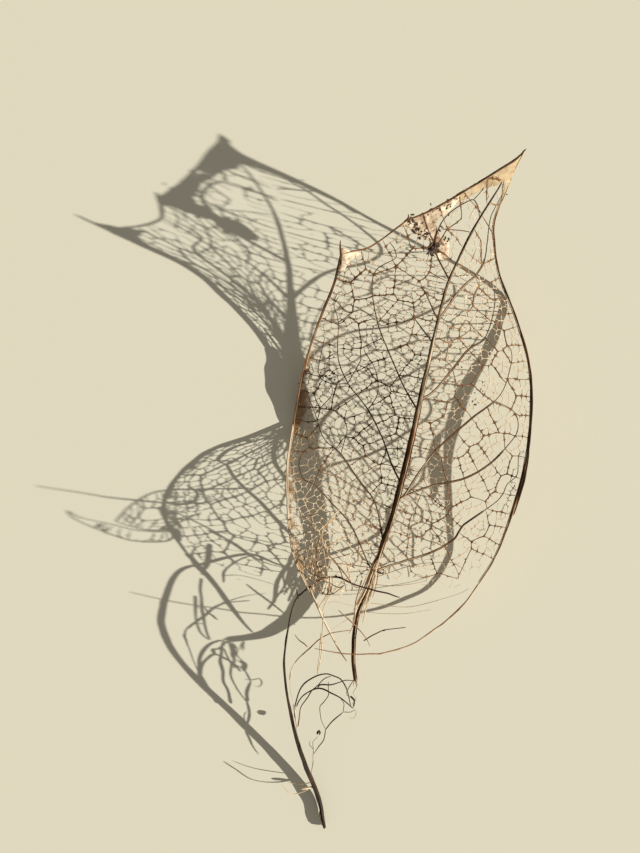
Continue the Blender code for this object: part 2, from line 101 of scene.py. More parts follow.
STANDING_STRIP: list[Spot] = [
    (-12.85, 8.6, 0.35), (-12.7, 10.3, 0.72), (-12.2, 13.2, 1.15), (-11.7, 15.8, 1.5),
    (-11.2, 17.6, 2.1),
]
TORN_EDGE: list[Place] = [
    (-11.3, -8.0), (-10.4, -9.6), (-9.2, -11.4), (-7.9, -11.2), (-6.9, -9.8), (-5.6, -9.0),
    (-4.4, -8.9), (-2.5, -8.4), (0.5, -9.4), (3.0, -9.8), (6.2, -9.7), (8.1, -8.5),
]
SPINES: list[list[Spot]] = [
    [(-7.7, 26.0, 11.0), (-7.7, 26.8, 12.6), (-7.8, 27.3, 13.5), (-7.8, 27.8, 14.4)],
    [(-1.3, 30.0, 12.8), (-0.9, 30.3, 13.1), (-0.9, 30.7, 13.2)],
    [(7.8, 34.7, 14.5), (9.6, 35.8, 14.8), (10.6, 36.75, 15.2)],
]
LEFT_VEINS: list[list[Place]] = [
    [(-3.9, -6.9), (-4.4, -6.2), (-6.4, -1.7), (-8.6, 0.9), (-10.5, 2.9), (-11.7, 3.5),
     (-12.1, 5.6), (-10.5, 7.5)],
    [(-10.5, 2.9), (-9.9, 4.3)],
    [(-2.9, -4.0), (-3.0, -2.6), (-3.8, 0.9), (-5.6, 3.4), (-7.5, 6.2), (-9.4, 7.9),
     (-10.4, 10.7), (-11.2, 12.7)],
    [(-10.4, 10.7), (-8.5, 12.8), (-8.6, 14.0)],
    [(-7.5, 6.2), (-6.8, 8.8), (-7.1, 10.0), (-6.8, 11.1)],
    [(-0.9, 2.9), (-1.9, 4.9), (-3.0, 8.0), (-4.5, 11.1), (-6.7, 14.1), (-7.8, 17.0),
     (-7.8, 20.7), (-8.3, 22.5), (-7.8, 23.3)],
    [(-6.7, 14.1), (-5.3, 16.7), (-5.3, 17.8), (-3.2, 18.8)],
    [(-6.7, 14.1), (-8.5, 14.1), (-10.0, 15.3), (-9.3, 19.2)],
    [(-4.5, 11.1), (-3.5, 12.8), (-3.6, 15.0), (-4.2, 16.5)],
    [(-7.8, 20.7), (-5.6, 21.9), (-3.8, 20.8)],
    [(0.8, 10.9), (-0.6, 13.3), (-2.2, 17.0), (-3.7, 20.9), (-4.2, 25.2), (-1.9, 26.9),
     (-2.7, 28.3)],
    [(2.3, 18.2), (-0.2, 21.4)],
    [(2.8, 20.6), (1.2, 23.7)],
    [(3.9, 24.8), (2.1, 27.8), (2.9, 30.5), (5.8, 32.3), (6.8, 31.0)],
    [(5.8, 32.3), (6.8, 33.4)],
    [(2.6, 29.5), (6.0, 29.5)],
]
RIGHT_VEINS: list[list[Place]] = [
    [(-3.8, -7.0), (-2.2, -6.4), (2.6, -4.8), (5.2, -3.2), (6.0, -1.8), (9.9, 1.1),
     (10.9, 2.9), (12.0, 3.9), (12.1, 6.1)],
    [(-1.5, 0.8), (-0.6, 1.5), (2.3, 2.7), (6.1, 3.6), (8.7, 5.1), (10.7, 7.0), (11.9, 8.6),
     (12.0, 10.0), (11.3, 11.1), (9.4, 12.0)],
    [(-0.6, 1.5), (1.2, 4.5), (3.2, 7.1), (6.6, 10.1), (10.0, 12.8), (11.6, 17.0), (10.9, 18.8)],
    [(1.0, 12.1), (2.7, 13.3), (6.1, 17.4), (8.4, 19.1), (9.8, 22.7), (9.8, 24.8)],
    [(2.8, 20.6), (5.2, 23.9), (7.2, 25.8), (8.2, 27.6), (8.3, 29.7), (8.3, 31.4), (9.0, 33.2)],
]
STALK: list[Spot] = [
    (-9.3, -36.7, 0.48), (-9.5, -35.7, 0.56), (-9.8, -34.0, 0.62), (-10.3, -32.3, 0.85),
    (-11.2, -29.9, 1.4), (-11.7, -28.4, 1.95), (-12.4, -25.8, 3.1), (-13.1, -22.0, 5.1),
    (-13.5, -19.1, 6.3), (-13.7, -16.5, 6.8), (-13.6, -14.6, 6.85), (-13.0, -11.1, 6.6),
    (-12.5, -9.6, 6.2), (-12.0, -9.0, 5.7),
]
STALK_ARC: list[Spot] = [
    (-12.1, -9.2, 5.8), (-11.4, -8.6, 5.4), (-10.4, -7.9, 4.95), (-9.1, -7.4, 4.6),
    (-7.8, -7.4, 4.5), (-6.9, -7.8, 4.4), (-5.4, -8.4, 4.3), (-3.2, -9.0, 4.2),
    (-1.0, -9.7, 4.0),
]
LEFT_THREAD: list[Spot] = [
    (-11.3, -8.0, 6.6), (-10.8, -8.9, 6.4), (-9.5, -11.7, 5.8), (-8.0, -14.7, 5.4),
    (-6.9, -16.5, 5.1),
]
RIGHT_THREAD: list[Spot] = [
    (8.1, -8.5, 2.0), (6.6, -10.5, 2.2), (4.6, -12.3, 2.9), (2.8, -13.4, 3.5), (0.9, -14.5, 4.5),
    (-1.0, -15.0, 5.6), (-2.8, -15.1, 7.0), (-4.3, -15.0, 8.0), (-7.4, -14.6, 9.4),
    (-10.4, -13.9, 10.2),
]
FLAPS: list[tuple[list[Spot], list[Spot]]] = [
    ([(-12.1, -6.2, 6.9), (-10.6, -7.3, 8.2), (-9.4, -8.1, 10.6), (-8.6, -7.8, 12.6),
      (-8.0, -7.1, 14.4), (-7.4, -6.5, 15.0)],
     [(-12.2, -5.0, 6.9), (-10.4, -6.2, 8.3), (-9.5, -6.8, 10.2), (-8.8, -6.8, 12.0),
      (-8.0, -6.9, 14.0), (-7.4, -6.5, 15.0)]),
    ([(-12.2, -5.0, 6.9), (-11.3, -5.9, 8.0), (-10.3, -6.4, 9.6), (-9.0, -6.4, 11.6)],
     [(-7.6, 0.2, 4.8), (-8.8, -0.8, 7.0), (-9.6, -1.9, 9.0), (-9.4, -4.0, 10.5),
      (-9.0, -6.4, 11.6)]),
]
STANDING_FIBRE: list[Spot] = [
    (-12.1, 0.0, 6.2), (-10.9, -1.1, 6.2), (-9.9, -2.6, 7.4), (-9.3, -3.5, 10.6),
    (-8.8, -3.9, 13.6), (-8.3, -4.2, 16.3),
]


@dataclass(frozen=True)
class Fibre:
    """A loose fibre: its width, how pale it is, and where it runs."""

    width: float
    paleness: float
    route: list[Spot]


STALK_HOOPS: list[Fibre] = [
    Fibre(0.15, 0.10, [
        (-12.6, -22.7, 5.0), (-12.6, -21.7, 5.2), (-12.4, -20.6, 5.4), (-12.0, -19.5, 5.5),
        (-11.4, -18.7, 5.6), (-10.6, -18.1, 5.7), (-9.8, -17.8, 5.7), (-9.0, -17.7, 5.8),
        (-8.3, -17.9, 5.9), (-7.6, -18.2, 5.9), (-7.2, -18.7, 6.0), (-6.9, -19.3, 6.1),
        (-6.7, -20.1, 6.2), (-6.5, -21.1, 6.3)]),
    Fibre(0.15, 0.06, [
        (-12.4, -21.4, 5.3), (-12.2, -20.9, 5.4), (-11.7, -20.2, 5.5), (-10.9, -19.6, 5.6),
        (-10.1, -19.3, 5.7), (-9.4, -19.4, 5.7), (-8.6, -19.8, 5.8), (-7.6, -20.3, 5.9),
        (-6.7, -21.0, 6.0), (-6.2, -21.4, 6.1)]),
    Fibre(0.14, 0.34, [
        (-12.3, -24.1, 3.7), (-12.2, -23.4, 3.85), (-12.1, -22.6, 4.0), (-11.9, -21.7, 4.3),
        (-11.2, -20.6, 4.7), (-10.8, -19.8, 5.0), (-10.1, -19.1, 5.3), (-9.4, -18.3, 5.6),
        (-8.6, -17.9, 5.9)]),
    Fibre(0.13, 0.12, [
        (-10.1, -19.3, 5.6), (-9.9, -18.9, 5.8), (-9.4, -18.8, 6.0), (-8.7, -18.8, 6.1),
        (-7.8, -18.5, 6.3), (-7.0, -18.2, 6.5), (-6.1, -18.2, 6.7)]),
    Fibre(0.08, 0.30, [
        (-8.9, -18.6, 5.7), (-8.9, -19.5, 5.5), (-8.9, -20.2, 5.3), (-9.4, -21.0, 5.1),
        (-9.8, -21.5, 4.9), (-9.8, -22.4, 4.7), (-9.7, -23.2, 4.5), (-9.2, -24.2, 4.3)]),
    Fibre(0.13, 0.14, [(-9.2, -24.2, 4.3), (-8.4, -23.1, 4.7), (-7.3, -22.1, 5.0)]),
    Fibre(0.08, 0.30, [(-7.3, -22.1, 5.0), (-7.2, -21.2, 5.3), (-7.6, -20.4, 5.7)]),
    Fibre(0.10, 0.18, [
        (-9.2, -24.2, 4.3), (-9.4, -25.4, 4.1), (-10.0, -26.3, 3.9), (-10.6, -27.2, 3.7)]),
    Fibre(0.09, 0.55, [(-10.6, -27.2, 3.7), (-10.6, -28.2, 3.5), (-10.8, -29.6, 2.9)]),
    Fibre(0.07, 0.70, [
        (-7.3, -22.0, 5.3), (-6.5, -22.0, 5.3), (-6.0, -21.8, 5.2), (-5.9, -22.3, 5.1),
        (-6.2, -22.8, 5.1), (-6.6, -22.6, 5.1)]),
    Fibre(0.07, 0.22, [
        (-10.6, -27.2, 3.7), (-10.6, -26.5, 3.7), (-10.6, -25.8, 3.8), (-10.3, -25.4, 3.9),
        (-10.1, -25.1, 3.9)]),
    Fibre(0.06, 0.30, [(-10.6, -26.6, 3.7), (-11.0, -26.1, 3.7), (-10.9, -25.6, 3.8)]),
    Fibre(0.26, 0.00, [
        (-10.15, -25.15, 3.1), (-10.1, -24.9, 3.1), (-9.9, -24.75, 3.1), (-9.8, -24.95, 3.1),
        (-9.9, -25.2, 3.1)]),
    Fibre(0.22, 0.00, [
        (-6.5, -20.1, 5.9), (-6.15, -20.5, 5.9), (-6.1, -20.9, 5.9), (-6.2, -21.3, 5.9)]),
    Fibre(0.16, 0.85, [
        (-12.75, -21.2, 5.3), (-12.6, -22.0, 5.1), (-12.5, -23.1, 4.8), (-12.3, -24.4, 4.5)]),
    Fibre(0.07, 0.85, [
        (-13.0, -17.1, 6.0), (-13.1, -18.7, 5.6), (-13.0, -20.0, 5.4), (-12.7, -21.2, 5.3)]),
    Fibre(0.08, 0.40, [
        (-6.1, -17.9, 6.9), (-6.6, -18.9, 6.4), (-7.0, -19.8, 6.2), (-6.2, -20.4, 6.0)]),
    Fibre(0.07, 0.75, [
        (-5.9, -18.0, 6.9), (-5.8, -18.8, 6.5), (-6.2, -19.6, 6.3), (-5.9, -20.3, 6.1),
        (-6.4, -21.0, 6.0)]),
]
TORN_FIBRES: list[Fibre] = [
    Fibre(0.13, 0.85, [
        (-9.4, -10.9, 6.7), (-9.6, -12.7, 6.65), (-9.6, -13.9, 6.6), (-9.7, -15.5, 6.45),
        (-10.1, -17.7, 5.9)]),
    Fibre(0.12, 0.85, [
        (-9.7, -13.0, 6.9), (-9.75, -13.9, 6.85), (-9.9, -15.5, 6.8), (-10.1, -16.9, 6.5),
        (-10.1, -17.7, 6.0)]),
    Fibre(0.09, 0.85, [(-9.6, -14.2, 6.55), (-9.8, -14.3, 6.85)]),
    Fibre(0.09, 0.85, [(-9.75, -16.0, 6.35), (-9.95, -16.1, 6.7)]),
    Fibre(0.12, 0.45, [(-11.1, -15.0, 5.0), (-12.0, -14.3, 5.0), (-12.6, -13.6, 5.0)]),
    Fibre(0.13, 0.95, [(-10.9, -8.2, 6.6), (-10.4, -9.4, 6.6), (-9.6, -10.6, 6.4)]),
    Fibre(0.15, 0.95, [(-8.7, -6.9, 6.6), (-8.9, -8.6, 6.6), (-10.0, -10.4, 6.4)]),
    Fibre(0.13, 0.42, [
        (-12.6, -16.5, 6.0), (-12.0, -15.8, 5.9), (-10.9, -14.8, 5.8), (-10.0, -14.0, 5.8),
        (-9.1, -13.5, 5.7), (-8.2, -13.2, 5.6), (-6.4, -13.0, 5.5)]),
    Fibre(0.09, 0.85, [(-12.6, -16.5, 6.0), (-13.0, -17.3, 5.9), (-13.2, -18.4, 5.6)]),
    Fibre(0.12, 0.12, [
        (-5.0, -14.5, 4.0), (-4.3, -14.0, 4.2), (-3.6, -13.6, 4.4), (-2.8, -13.2, 4.6),
        (-1.8, -13.0, 4.8), (-0.4, -12.8, 5.0)]),
    Fibre(0.20, 0.05, [(-2.95, -13.25, 4.6), (-2.75, -13.2, 4.6), (-2.6, -13.15, 4.6)]),
    Fibre(0.11, 0.50, [
        (-7.8, -10.9, 5.0), (-5.8, -12.8, 4.7), (-4.7, -14.2, 4.3), (-4.3, -15.2, 4.0)]),
    Fibre(0.10, 0.35, [(-8.1, -5.5, 7.0), (-6.2, -5.8, 6.0), (-4.7, -6.2, 5.0), (-3.6, -6.6, 4.0)]),
    Fibre(0.12, 0.25, [(-8.1, -5.5, 7.0), (-7.3, -6.5, 6.0), (-6.2, -8.2, 5.0), (-5.4, -8.7, 4.0)]),
    Fibre(0.11, 0.30, [(-9.5, -3.9, 8.0), (-8.1, -5.5, 6.7), (-7.3, -7.4, 5.3), (-6.9, -9.1, 4.0)]),
    Fibre(0.11, 0.80, [
        (-8.5, -7.0, 6.6), (-8.5, -8.2, 6.6), (-9.2, -9.4, 6.4), (-10.1, -10.3, 6.4)]),
    Fibre(0.09, 0.70, [
        (-10.6, -8.9, 6.6), (-10.6, -8.0, 6.6), (-10.2, -7.3, 6.6), (-9.4, -7.1, 6.6),
        (-8.7, -7.3, 6.6)]),
    Fibre(0.10, 0.75, [
        (-9.6, -10.9, 5.4), (-9.0, -9.6, 5.6), (-7.9, -8.3, 5.4), (-6.6, -7.2, 4.8)]),
    Fibre(0.16, 0.75, [
        (-5.2, -7.8, 3.8), (-5.5, -8.9, 4.0), (-5.9, -10.4, 4.2), (-6.1, -12.4, 4.3),
        (-6.6, -13.6, 4.4)]),
    Fibre(0.18, 0.85, [
        (-3.6, -6.9, 3.4), (-3.9, -7.8, 3.5), (-4.1, -8.9, 3.6), (-4.7, -10.7, 3.8),
        (-5.1, -12.5, 4.0)]),
    Fibre(0.12, 0.90, [
        (-4.2, -7.4, 3.6), (-4.5, -8.8, 3.8), (-4.9, -10.6, 4.0), (-5.2, -11.8, 4.2)]),
    Fibre(0.12, 0.85, [(-4.4, -6.9, 3.4), (-3.5, -6.7, 3.6), (-2.8, -7.2, 3.8), (-2.7, -6.6, 4.0)]),
    Fibre(0.14, 0.10, [(-3.6, -6.9, 3.6), (-3.0, -7.1, 3.8), (-2.5, -6.7, 3.9)]),
    Fibre(0.07, 0.45, [
        (-3.6, -7.6, 3.0), (0.6, -6.3, 2.8), (2.6, -6.0, 2.8), (3.6, -6.0, 2.8), (5.2, -6.1, 2.7),
        (6.6, -7.1, 2.4)]),
    Fibre(0.06, 0.60, [(-3.9, -8.4, 3.0), (-1.5, -8.6, 2.7), (0.6, -8.4, 2.6), (2.2, -8.0, 2.6)]),
    Fibre(0.06, 0.60, [
        (-4.2, -10.4, 3.6), (-0.2, -10.9, 3.2), (2.8, -10.4, 2.8), (5.6, -9.6, 2.4),
        (7.0, -9.0, 2.2)]),
    Fibre(0.05, 0.70, [(-4.6, -11.4, 3.8), (-0.6, -11.6, 3.6), (2.6, -11.2, 3.2)]),
    Fibre(0.07, 0.85, [
        (-9.4, -10.2, 5.6), (-8.2, -10.0, 5.2), (-6.6, -10.4, 4.6), (-5.6, -10.9, 4.2)]),
    Fibre(0.06, 0.75, [(-9.0, -13.4, 5.8), (-7.6, -12.4, 5.2), (-6.4, -11.8, 4.6)]),
]
FOOT_FIBRES: list[Fibre] = [
    Fibre(0.26, 0.95, [(-12.1, -31.9, 1.5), (-11.3, -31.85, 1.25), (-10.5, -31.8, 1.0)]),
    Fibre(0.16, 0.95, [
        (-9.9, -34.9, 0.30), (-9.8, -35.6, 0.25), (-9.6, -36.2, 0.2), (-9.2, -36.7, 0.15)]),
    Fibre(0.10, 0.80, [
        (-10.4, -31.7, 0.9), (-12.2, -32.3, 1.6), (-13.2, -32.2, 2.2), (-13.8, -31.2, 2.8),
        (-14.0, -30.6, 3.3)]),
    Fibre(0.09, 0.60, [(-10.6, -31.2, 1.2), (-12.4, -31.0, 2.3), (-13.6, -30.4, 3.0)]),
]


def smooth_curve(points: Sequence[Sequence[float]], step: float) -> np.ndarray:
    """A Catmull-Rom curve through the given points.

    Args:
        points: the points that the curve passes through, in order.
        step: about how far apart the curve's own points are.

    Returns:
        The curve's points, one a row.
    """
    given = np.array(points, dtype=float)
    ends = np.vstack([2 * given[0] - given[1], given, 2 * given[-1] - given[-2]])
    curve = []
    for before, start, end, after in zip(ends, ends[1:], ends[2:], ends[3:]):
        parts = max(1, round(float(np.linalg.norm(end - start)) / step))
        for t in np.arange(parts) / parts:
            curve.append(0.5 * (2 * start + (end - before) * t
                                + (2 * before - 5 * start + 4 * end - after) * t ** 2
                                + (3 * start - before - 3 * end + after) * t ** 3))
    curve.append(given[-1])
    return np.array(curve)


def spread(values: Sequence[float], share: np.ndarray) -> np.ndarray:
    """Values spaced evenly along a length, read at each share of it."""
    return np.interp(share, np.linspace(0, 1, len(values)), values)


def held(number: float) -> float:
    """A number kept between nought and one."""
    return min(1.0, max(0.0, number))


def left_of(way: np.ndarray) -> np.ndarray:
    """A flat vector turned by a right angle to its left."""
    return np.array([-way[1], way[0]])


def halfway(start: Place, end: Place) -> Place:
    """The place halfway between two."""
    return tuple((np.array(start) + end) / 2)


@dataclass
class Plate:
    """The blade as a thin plate bent to pass through its margins and its midrib."""

    stations: np.ndarray
    weights: np.ndarray = field(init=False)

    def __post_init__(self) -> None:
        """Solve for the plate through the stations."""
        places = self.stations[:, :2]
        count = len(places)
        system = np.zeros((count + 3, count + 3))
        system[:count, :count] = self.bend(places, places)
        system[:count, count] = 1.0
        system[:count, count + 1:] = places
        system[count:, :count] = system[:count, count:].T
        self.weights = np.linalg.solve(system, np.append(self.stations[:, 2], np.zeros(3)))

    @staticmethod
    def bend(places: np.ndarray, loads: np.ndarray) -> np.ndarray:
        """The bending of the plate from point loads.

        Args:
            places: where the bending is wanted, one a row.
            loads: where the loads are, one a row.

        Returns:
            A row for each place, with the bending that each load gives there.
        """
        squares = ((places[:, None] - loads[None, :]) ** 2).sum(axis=-1)
        squares = np.maximum(squares, TINY)
        return 0.5 * squares * np.log(squares)

    def heights(self, places: np.ndarray) -> np.ndarray:
        """The plate's height over each place.

        Args:
            places: the places, one a row; a third column isn't read.

        Returns:
            The heights.
        """
        places = np.atleast_2d(places)[:, :2]
        count = len(self.stations)
        return (self.bend(places, self.stations[:, :2]) @ self.weights[:count]
                + self.weights[count] + places @ self.weights[count + 1:])

    def lift(self, places: np.ndarray) -> np.ndarray:
        """The places with their height on the plate added."""
        return np.column_stack([places[:, :2], self.heights(places)])


def make_plate() -> Plate:
    """The plate of this leaf's blade."""
    return Plate(np.array(MIDRIB[MIDRIB_IN_BLADE:-1] + LEFT_MARGIN + TOP_EDGE[1:]
                          + RIGHT_MARGIN[1:]))


@dataclass
class Flap:
    """A torn flap of the blade that stands up between two curved edges which meet at its tip."""

    left_edge: np.ndarray
    right_edge: np.ndarray
    belly: float = 0.7
    belly_way: Spot = (-0.5, -0.8, 0.0)
    netted_share: float = 0.94
    least_width: float = 0.05
    length: float = field(init=False)

    def __post_init__(self) -> None:
        """Find how long the flap is."""
        share = np.linspace(0, 1, 20)
        middle = (self.at(self.left_edge, share) + self.at(self.right_edge, share)) / 2
        self.length = float(np.linalg.norm(np.diff(middle, axis=0), axis=1).sum())

    def at(self, edge: np.ndarray, share: np.ndarray) -> np.ndarray:
        """The point of an edge at each share of its length."""
        return np.column_stack([spread(column, share) for column in edge.T])

    def width(self, share: np.ndarray) -> np.ndarray:
        """How wide the flap is at each share of its length."""
        return np.linalg.norm(self.at(self.left_edge, share) - self.at(self.right_edge, share),
                              axis=1)

    def flat_edges(self) -> tuple[np.ndarray, np.ndarray]:
        """The two edges of the flap when it is laid out flat."""
        share = np.linspace(0, self.netted_share, 12)
        half = self.width(share) / 2
        return (np.column_stack([-half, share * self.length]),
                np.column_stack([half, share * self.length]))

    def lift(self, places: np.ndarray) -> np.ndarray:
        """Where places on the flat flap stand.

        Args:
            places: the places, one a row, with nought across at the middle of the flap.

        Returns:
            Their points in space, one a row.
        """
        share = np.clip(places[:, 1] / self.length, 0, 1)
        width = np.maximum(self.width(share), self.least_width)
        across = np.clip(places[:, 0] / width + 0.5, 0, 1)[:, None]
        bulge = np.sin(across * math.pi) * np.sin(share * math.pi)[:, None] * self.belly
        return (self.at(self.left_edge, share) * (1 - across)
                + self.at(self.right_edge, share) * across + bulge * np.array(self.belly_way))


def inside(outline: np.ndarray, places: np.ndarray) -> np.ndarray:
    """Which places lie inside a closed outline.

    Args:
        outline: the outline's corners, one a row.
        places: the places to test, one a row.

    Returns:
        True for each place that lies inside.
    """
    x, y = places[:, 0][:, None], places[:, 1][:, None]
    ax, ay = outline[:, 0], outline[:, 1]
    bx, by = np.roll(ax, -1), np.roll(ay, -1)
    level = (ay > y) != (by > y)
    rise = np.where(by == ay, 1.0, by - ay)
    return (level & (x < ax + (y - ay) / rise * (bx - ax))).sum(axis=1) % 2 == 1


# ---------------------------------------------------------------------------------------------
# The net as a drawing seen from above
# ---------------------------------------------------------------------------------------------

class Rank(Enum):
    """How thick a vein of the net is."""

    LARGE = 0
    MIDDLE = 1
    FINE = 2
    SPUR = 3


@dataclass
class Wall:
    """One straight stretch of a vein."""

    start: Place
    end: Place
    rank: Rank


def nearest_on(walls: np.ndarray, places: np.ndarray) -> tuple[np.ndarray, np.ndarray, np.ndarray]:
    """The nearest point of any wall to each place.

    Args:
        walls: the walls, each a row of x, y, x, y.
        places: the places, one a row.

    Returns:
        The nearest points, how far away they are, and the walls that they are on.
    """
    start, run = walls[:, :2], walls[:, 2:] - walls[:, :2]
    squares = np.maximum((run ** 2).sum(axis=-1), TINY)
    feet, distance, best = [], [], []
    for some in np.array_split(places, max(1, len(places) // 400)):
        gap = some[:, None] - start[None]
        share = np.clip((gap * run).sum(axis=-1) / squares, 0, 1)
        near = start + share[..., None] * run
        far = np.hypot(some[:, None, 0] - near[..., 0], some[:, None, 1] - near[..., 1])
        chosen = far.argmin(axis=1)
        rows = np.arange(len(some))
        feet.append(near[rows, chosen])
        distance.append(far[rows, chosen])
        best.append(chosen)
    return np.vstack(feet), np.concatenate(distance), np.concatenate(best)


@dataclass
class CellDivider:
    """Divides a sheet between veins into cells, whose walls become smaller veins.

    A cell's size is in millimetres, and the other lengths are shares of it.
    """

    size: float
    jitter: float
    snap: float
    seed: int
    vein_step: float = 0.8
    pair_place: Range = (0.35, 0.65)
    pair_reach: Range = (0.42, 0.55)
    pair_gap: float = 0.55
    centre_gap: float = 0.72

    def centres(self, veins: Iterable[np.ndarray], outline: np.ndarray) -> np.ndarray:
        """One centre for each cell: pairs either side of every vein, and then the rest.

        Args:
            veins: the veins that cell walls must fall along.
            outline: the edge of the sheet.

        Returns:
            The centres, one a row.
        """
        chance = random.Random(self.seed)
        found = np.zeros((0, 2))

        def far_enough(place: np.ndarray, gap: float) -> bool:
            """Whether a place is further than the gap from every centre so far."""
            return not len(found) or bool(np.hypot(*(found - place).T).min() > gap)

        for vein in veins:
            along = smooth_curve(vein[:, :2], self.size * self.vein_step)
            for start, end in zip(along, along[1:]):
                run = end - start
                across = left_of(run) / np.hypot(*run)
                middle = start + run * chance.uniform(*self.pair_place)
                offset = self.size * chance.uniform(*self.pair_reach)
                pair = [middle + across * offset, middle - across * offset]
                if all(far_enough(place, self.size * self.pair_gap) for place in pair):
                    found = np.vstack([found, pair])
        low, high = outline.min(axis=0), outline.max(axis=0)
        row_gap = self.size * math.sqrt(0.75)
        tries = []
        for row in range(int((high[1] - low[1]) / row_gap) + 1):
            for column in range(int((high[0] - low[0]) / self.size) + 1):
                across = column + 0.5 * (row % 2) + chance.uniform(-1, 1) * self.jitter
                rise = chance.uniform(-1, 1) * self.jitter * self.size
                tries.append((low[0] + across * self.size, low[1] + row * row_gap + rise))
        tries = np.array(tries)
        for place in tries[inside(outline, tries)]:
            if far_enough(place, self.size * self.centre_gap):
                found = np.vstack([found, place])
        return found

    def divide(self, veins: list[np.ndarray], outline: np.ndarray) -> list[tuple[Place, Place]]:
        """The walls of the cells.

        Args:
            veins: the veins round and across the sheet, as curves.
            outline: the edge of the sheet.

        Returns:
            The two ends of each wall that isn't already a vein.
        """
        centres = self.centres(veins, outline)
        _, _, triangles, *_ = delaunay_2d_cdt([tuple(c) for c in centres], [], [], 0, 1e-6)
        corners = centres[np.array([list(t) for t in triangles])]
        a, b, c = (corners[:, k] - corners[:, 2] for k in range(3))
        cross = 2 * (a[:, 0] * b[:, 1] - a[:, 1] * b[:, 0])
        first, second = (a ** 2).sum(axis=1), (b ** 2).sum(axis=1)
        middles = corners[:, 2] + np.column_stack([
            (b[:, 1] * first - a[:, 1] * second) / cross,
            (a[:, 0] * second - b[:, 0] * first) / cross])
        walls = np.array([[*start, *end] for vein in veins
                          for start, end in zip(vein[:, :2], vein[1:, :2])])
        owner = np.array([index for index, vein in enumerate(veins) for _ in vein[1:]])
        feet, gaps, nearest = nearest_on(walls, middles)
        on_vein = gaps < self.snap * self.size
        ends = np.where(on_vein[:, None], feet, middles)
        kept = on_vein | inside(outline, middles)
        shared: dict[tuple[int, int], list[int]] = {}
        for index, triangle in enumerate(triangles):
            for one, two in zip(triangle, triangle[1:] + triangle[:1]):
                shared.setdefault((min(one, two), max(one, two)), []).append(index)
        net = []
        for pair in sorted(pair for pair in shared.values() if len(pair) == 2):
            one, two = pair
            along = on_vein[one] and on_vein[two] and owner[nearest[one]] == owner[nearest[two]]
            middle = (ends[one] + ends[two]) / 2
            if kept[one] and kept[two] and not along and inside(outline, middle[None])[0]:
                net.append((tuple(ends[one]), tuple(ends[two])))
        return net


@dataclass
class VeinMap:
    """Points joined by edges, seen from above, each edge with half its width."""

    points: list[Place] = field(default_factory=list)
    edges: dict[tuple[int, int], float] = field(default_factory=dict)

    def join(self, start: int, end: int, half_width: float) -> None:
        """Join two points, keeping the wider vein where there are two.

        Args:
            start: one point.
            end: the other point; nothing is joined if it is the same one.
            half_width: half the width of the vein between them.
        """
        if start != end:
            key = (min(start, end), max(start, end))
            self.edges[key] = max(half_width, self.edges.get(key, 0.0))

    def half_width(self, start: int, end: int) -> float:
        """Half the width of the vein between two points."""
        return self.edges[(min(start, end), max(start, end))]

    def neighbours(self) -> dict[int, list[int]]:
        """For each point in use, its neighbours in order of direction, anticlockwise."""
        around: dict[int, list[int]] = {}
        for start, end in self.edges:
            around.setdefault(start, []).append(end)
            around.setdefault(end, []).append(start)
        for index, others in around.items():
            x, y = self.points[index]
            others.sort(key=lambda other: math.atan2(self.points[other][1] - y,
                                                     self.points[other][0] - x))
        return around

    def weld_short_edges(self, shortest: float) -> None:
        """Draw the two ends of each very short edge together, at the end on the wider vein.

        Args:
            shortest: the length of the shortest edge that is left alone.
        """
        widest: dict[int, float] = {}
        for key, half_width in self.edges.items():
            for index in key:
                widest[index] = max(half_width, widest.get(index, 0.0))
        stands_for = list(range(len(self.points)))

        def root(index: int) -> int:
            """The point that a welded point has become part of."""
            while stands_for[index] != index:
                index = stands_for[index]
            return index

        for start, end in sorted(self.edges):
            if math.dist(self.points[start], self.points[end]) < shortest:
                first, second = root(start), root(end)
                if widest[first] < widest[second]:
                    first, second = second, first
                stands_for[second] = first
        old, self.edges = self.edges, {}
        for (start, end), half_width in old.items():
            self.join(root(start), root(end), half_width)

    def part(self, keep: Callable[[Place], bool]) -> "VeinMap":
        """The edges whose middles pass a test.

        Args:
            keep: the test.

        Returns:
            A map of those edges, which shares its points with this one.
        """
        piece = VeinMap(self.points)
        for (start, end), half_width in self.edges.items():
            if keep(halfway(self.points[start], self.points[end])):
                piece.edges[start, end] = half_width
        return piece


# ---------------------------------------------------------------------------------------------
# Making meshes
# ---------------------------------------------------------------------------------------------

def new_object(name: str, data: bpy.types.Mesh) -> bpy.types.Object:
    """Link a new object to the scene and make it the only one selected.

    Args:
        name: the object's name.
        data: its mesh.

    Returns:
        The object.
    """
    made = bpy.data.objects.new(name, data)
    bpy.context.scene.collection.objects.link(made)
    bpy.ops.object.select_all(action="DESELECT")
    made.select_set(True)
    bpy.context.view_layer.objects.active = made
    return made


def apply_modifiers(made: bpy.types.Object) -> None:
    """Apply all of an object's modifiers, in order."""
    bpy.context.view_layer.objects.active = made
    for name in [modifier.name for modifier in made.modifiers]:
        bpy.ops.object.modifier_apply(modifier=name)


def gather(mesh: bmesh.types.BMesh, name: str) -> bpy.types.Object:
    """Make a finished bmesh into a new object.

    Args:
        mesh: the bmesh, which is used up.
        name: the name of the mesh and of the object.

    Returns:
        The object.
    """
    data = bpy.data.meshes.new(name)
    mesh.to_mesh(data)
    mesh.free()
    return new_object(name, data)


def thicken(made: bpy.types.Object, thickness: float, group: str = "") -> None:
    """Add the modifier that gives a sheet its thickness, half to each side.

    Args:
        made: the sheet.
        thickness: how thick it is where it is thickest.
        group: the vertex group that says where it is thinner, if there is one.
    """
    solidify = made.modifiers.new("thickness", "SOLIDIFY")
    solidify.thickness = thickness * MM
    solidify.offset = 0.0
    solidify.vertex_group = group


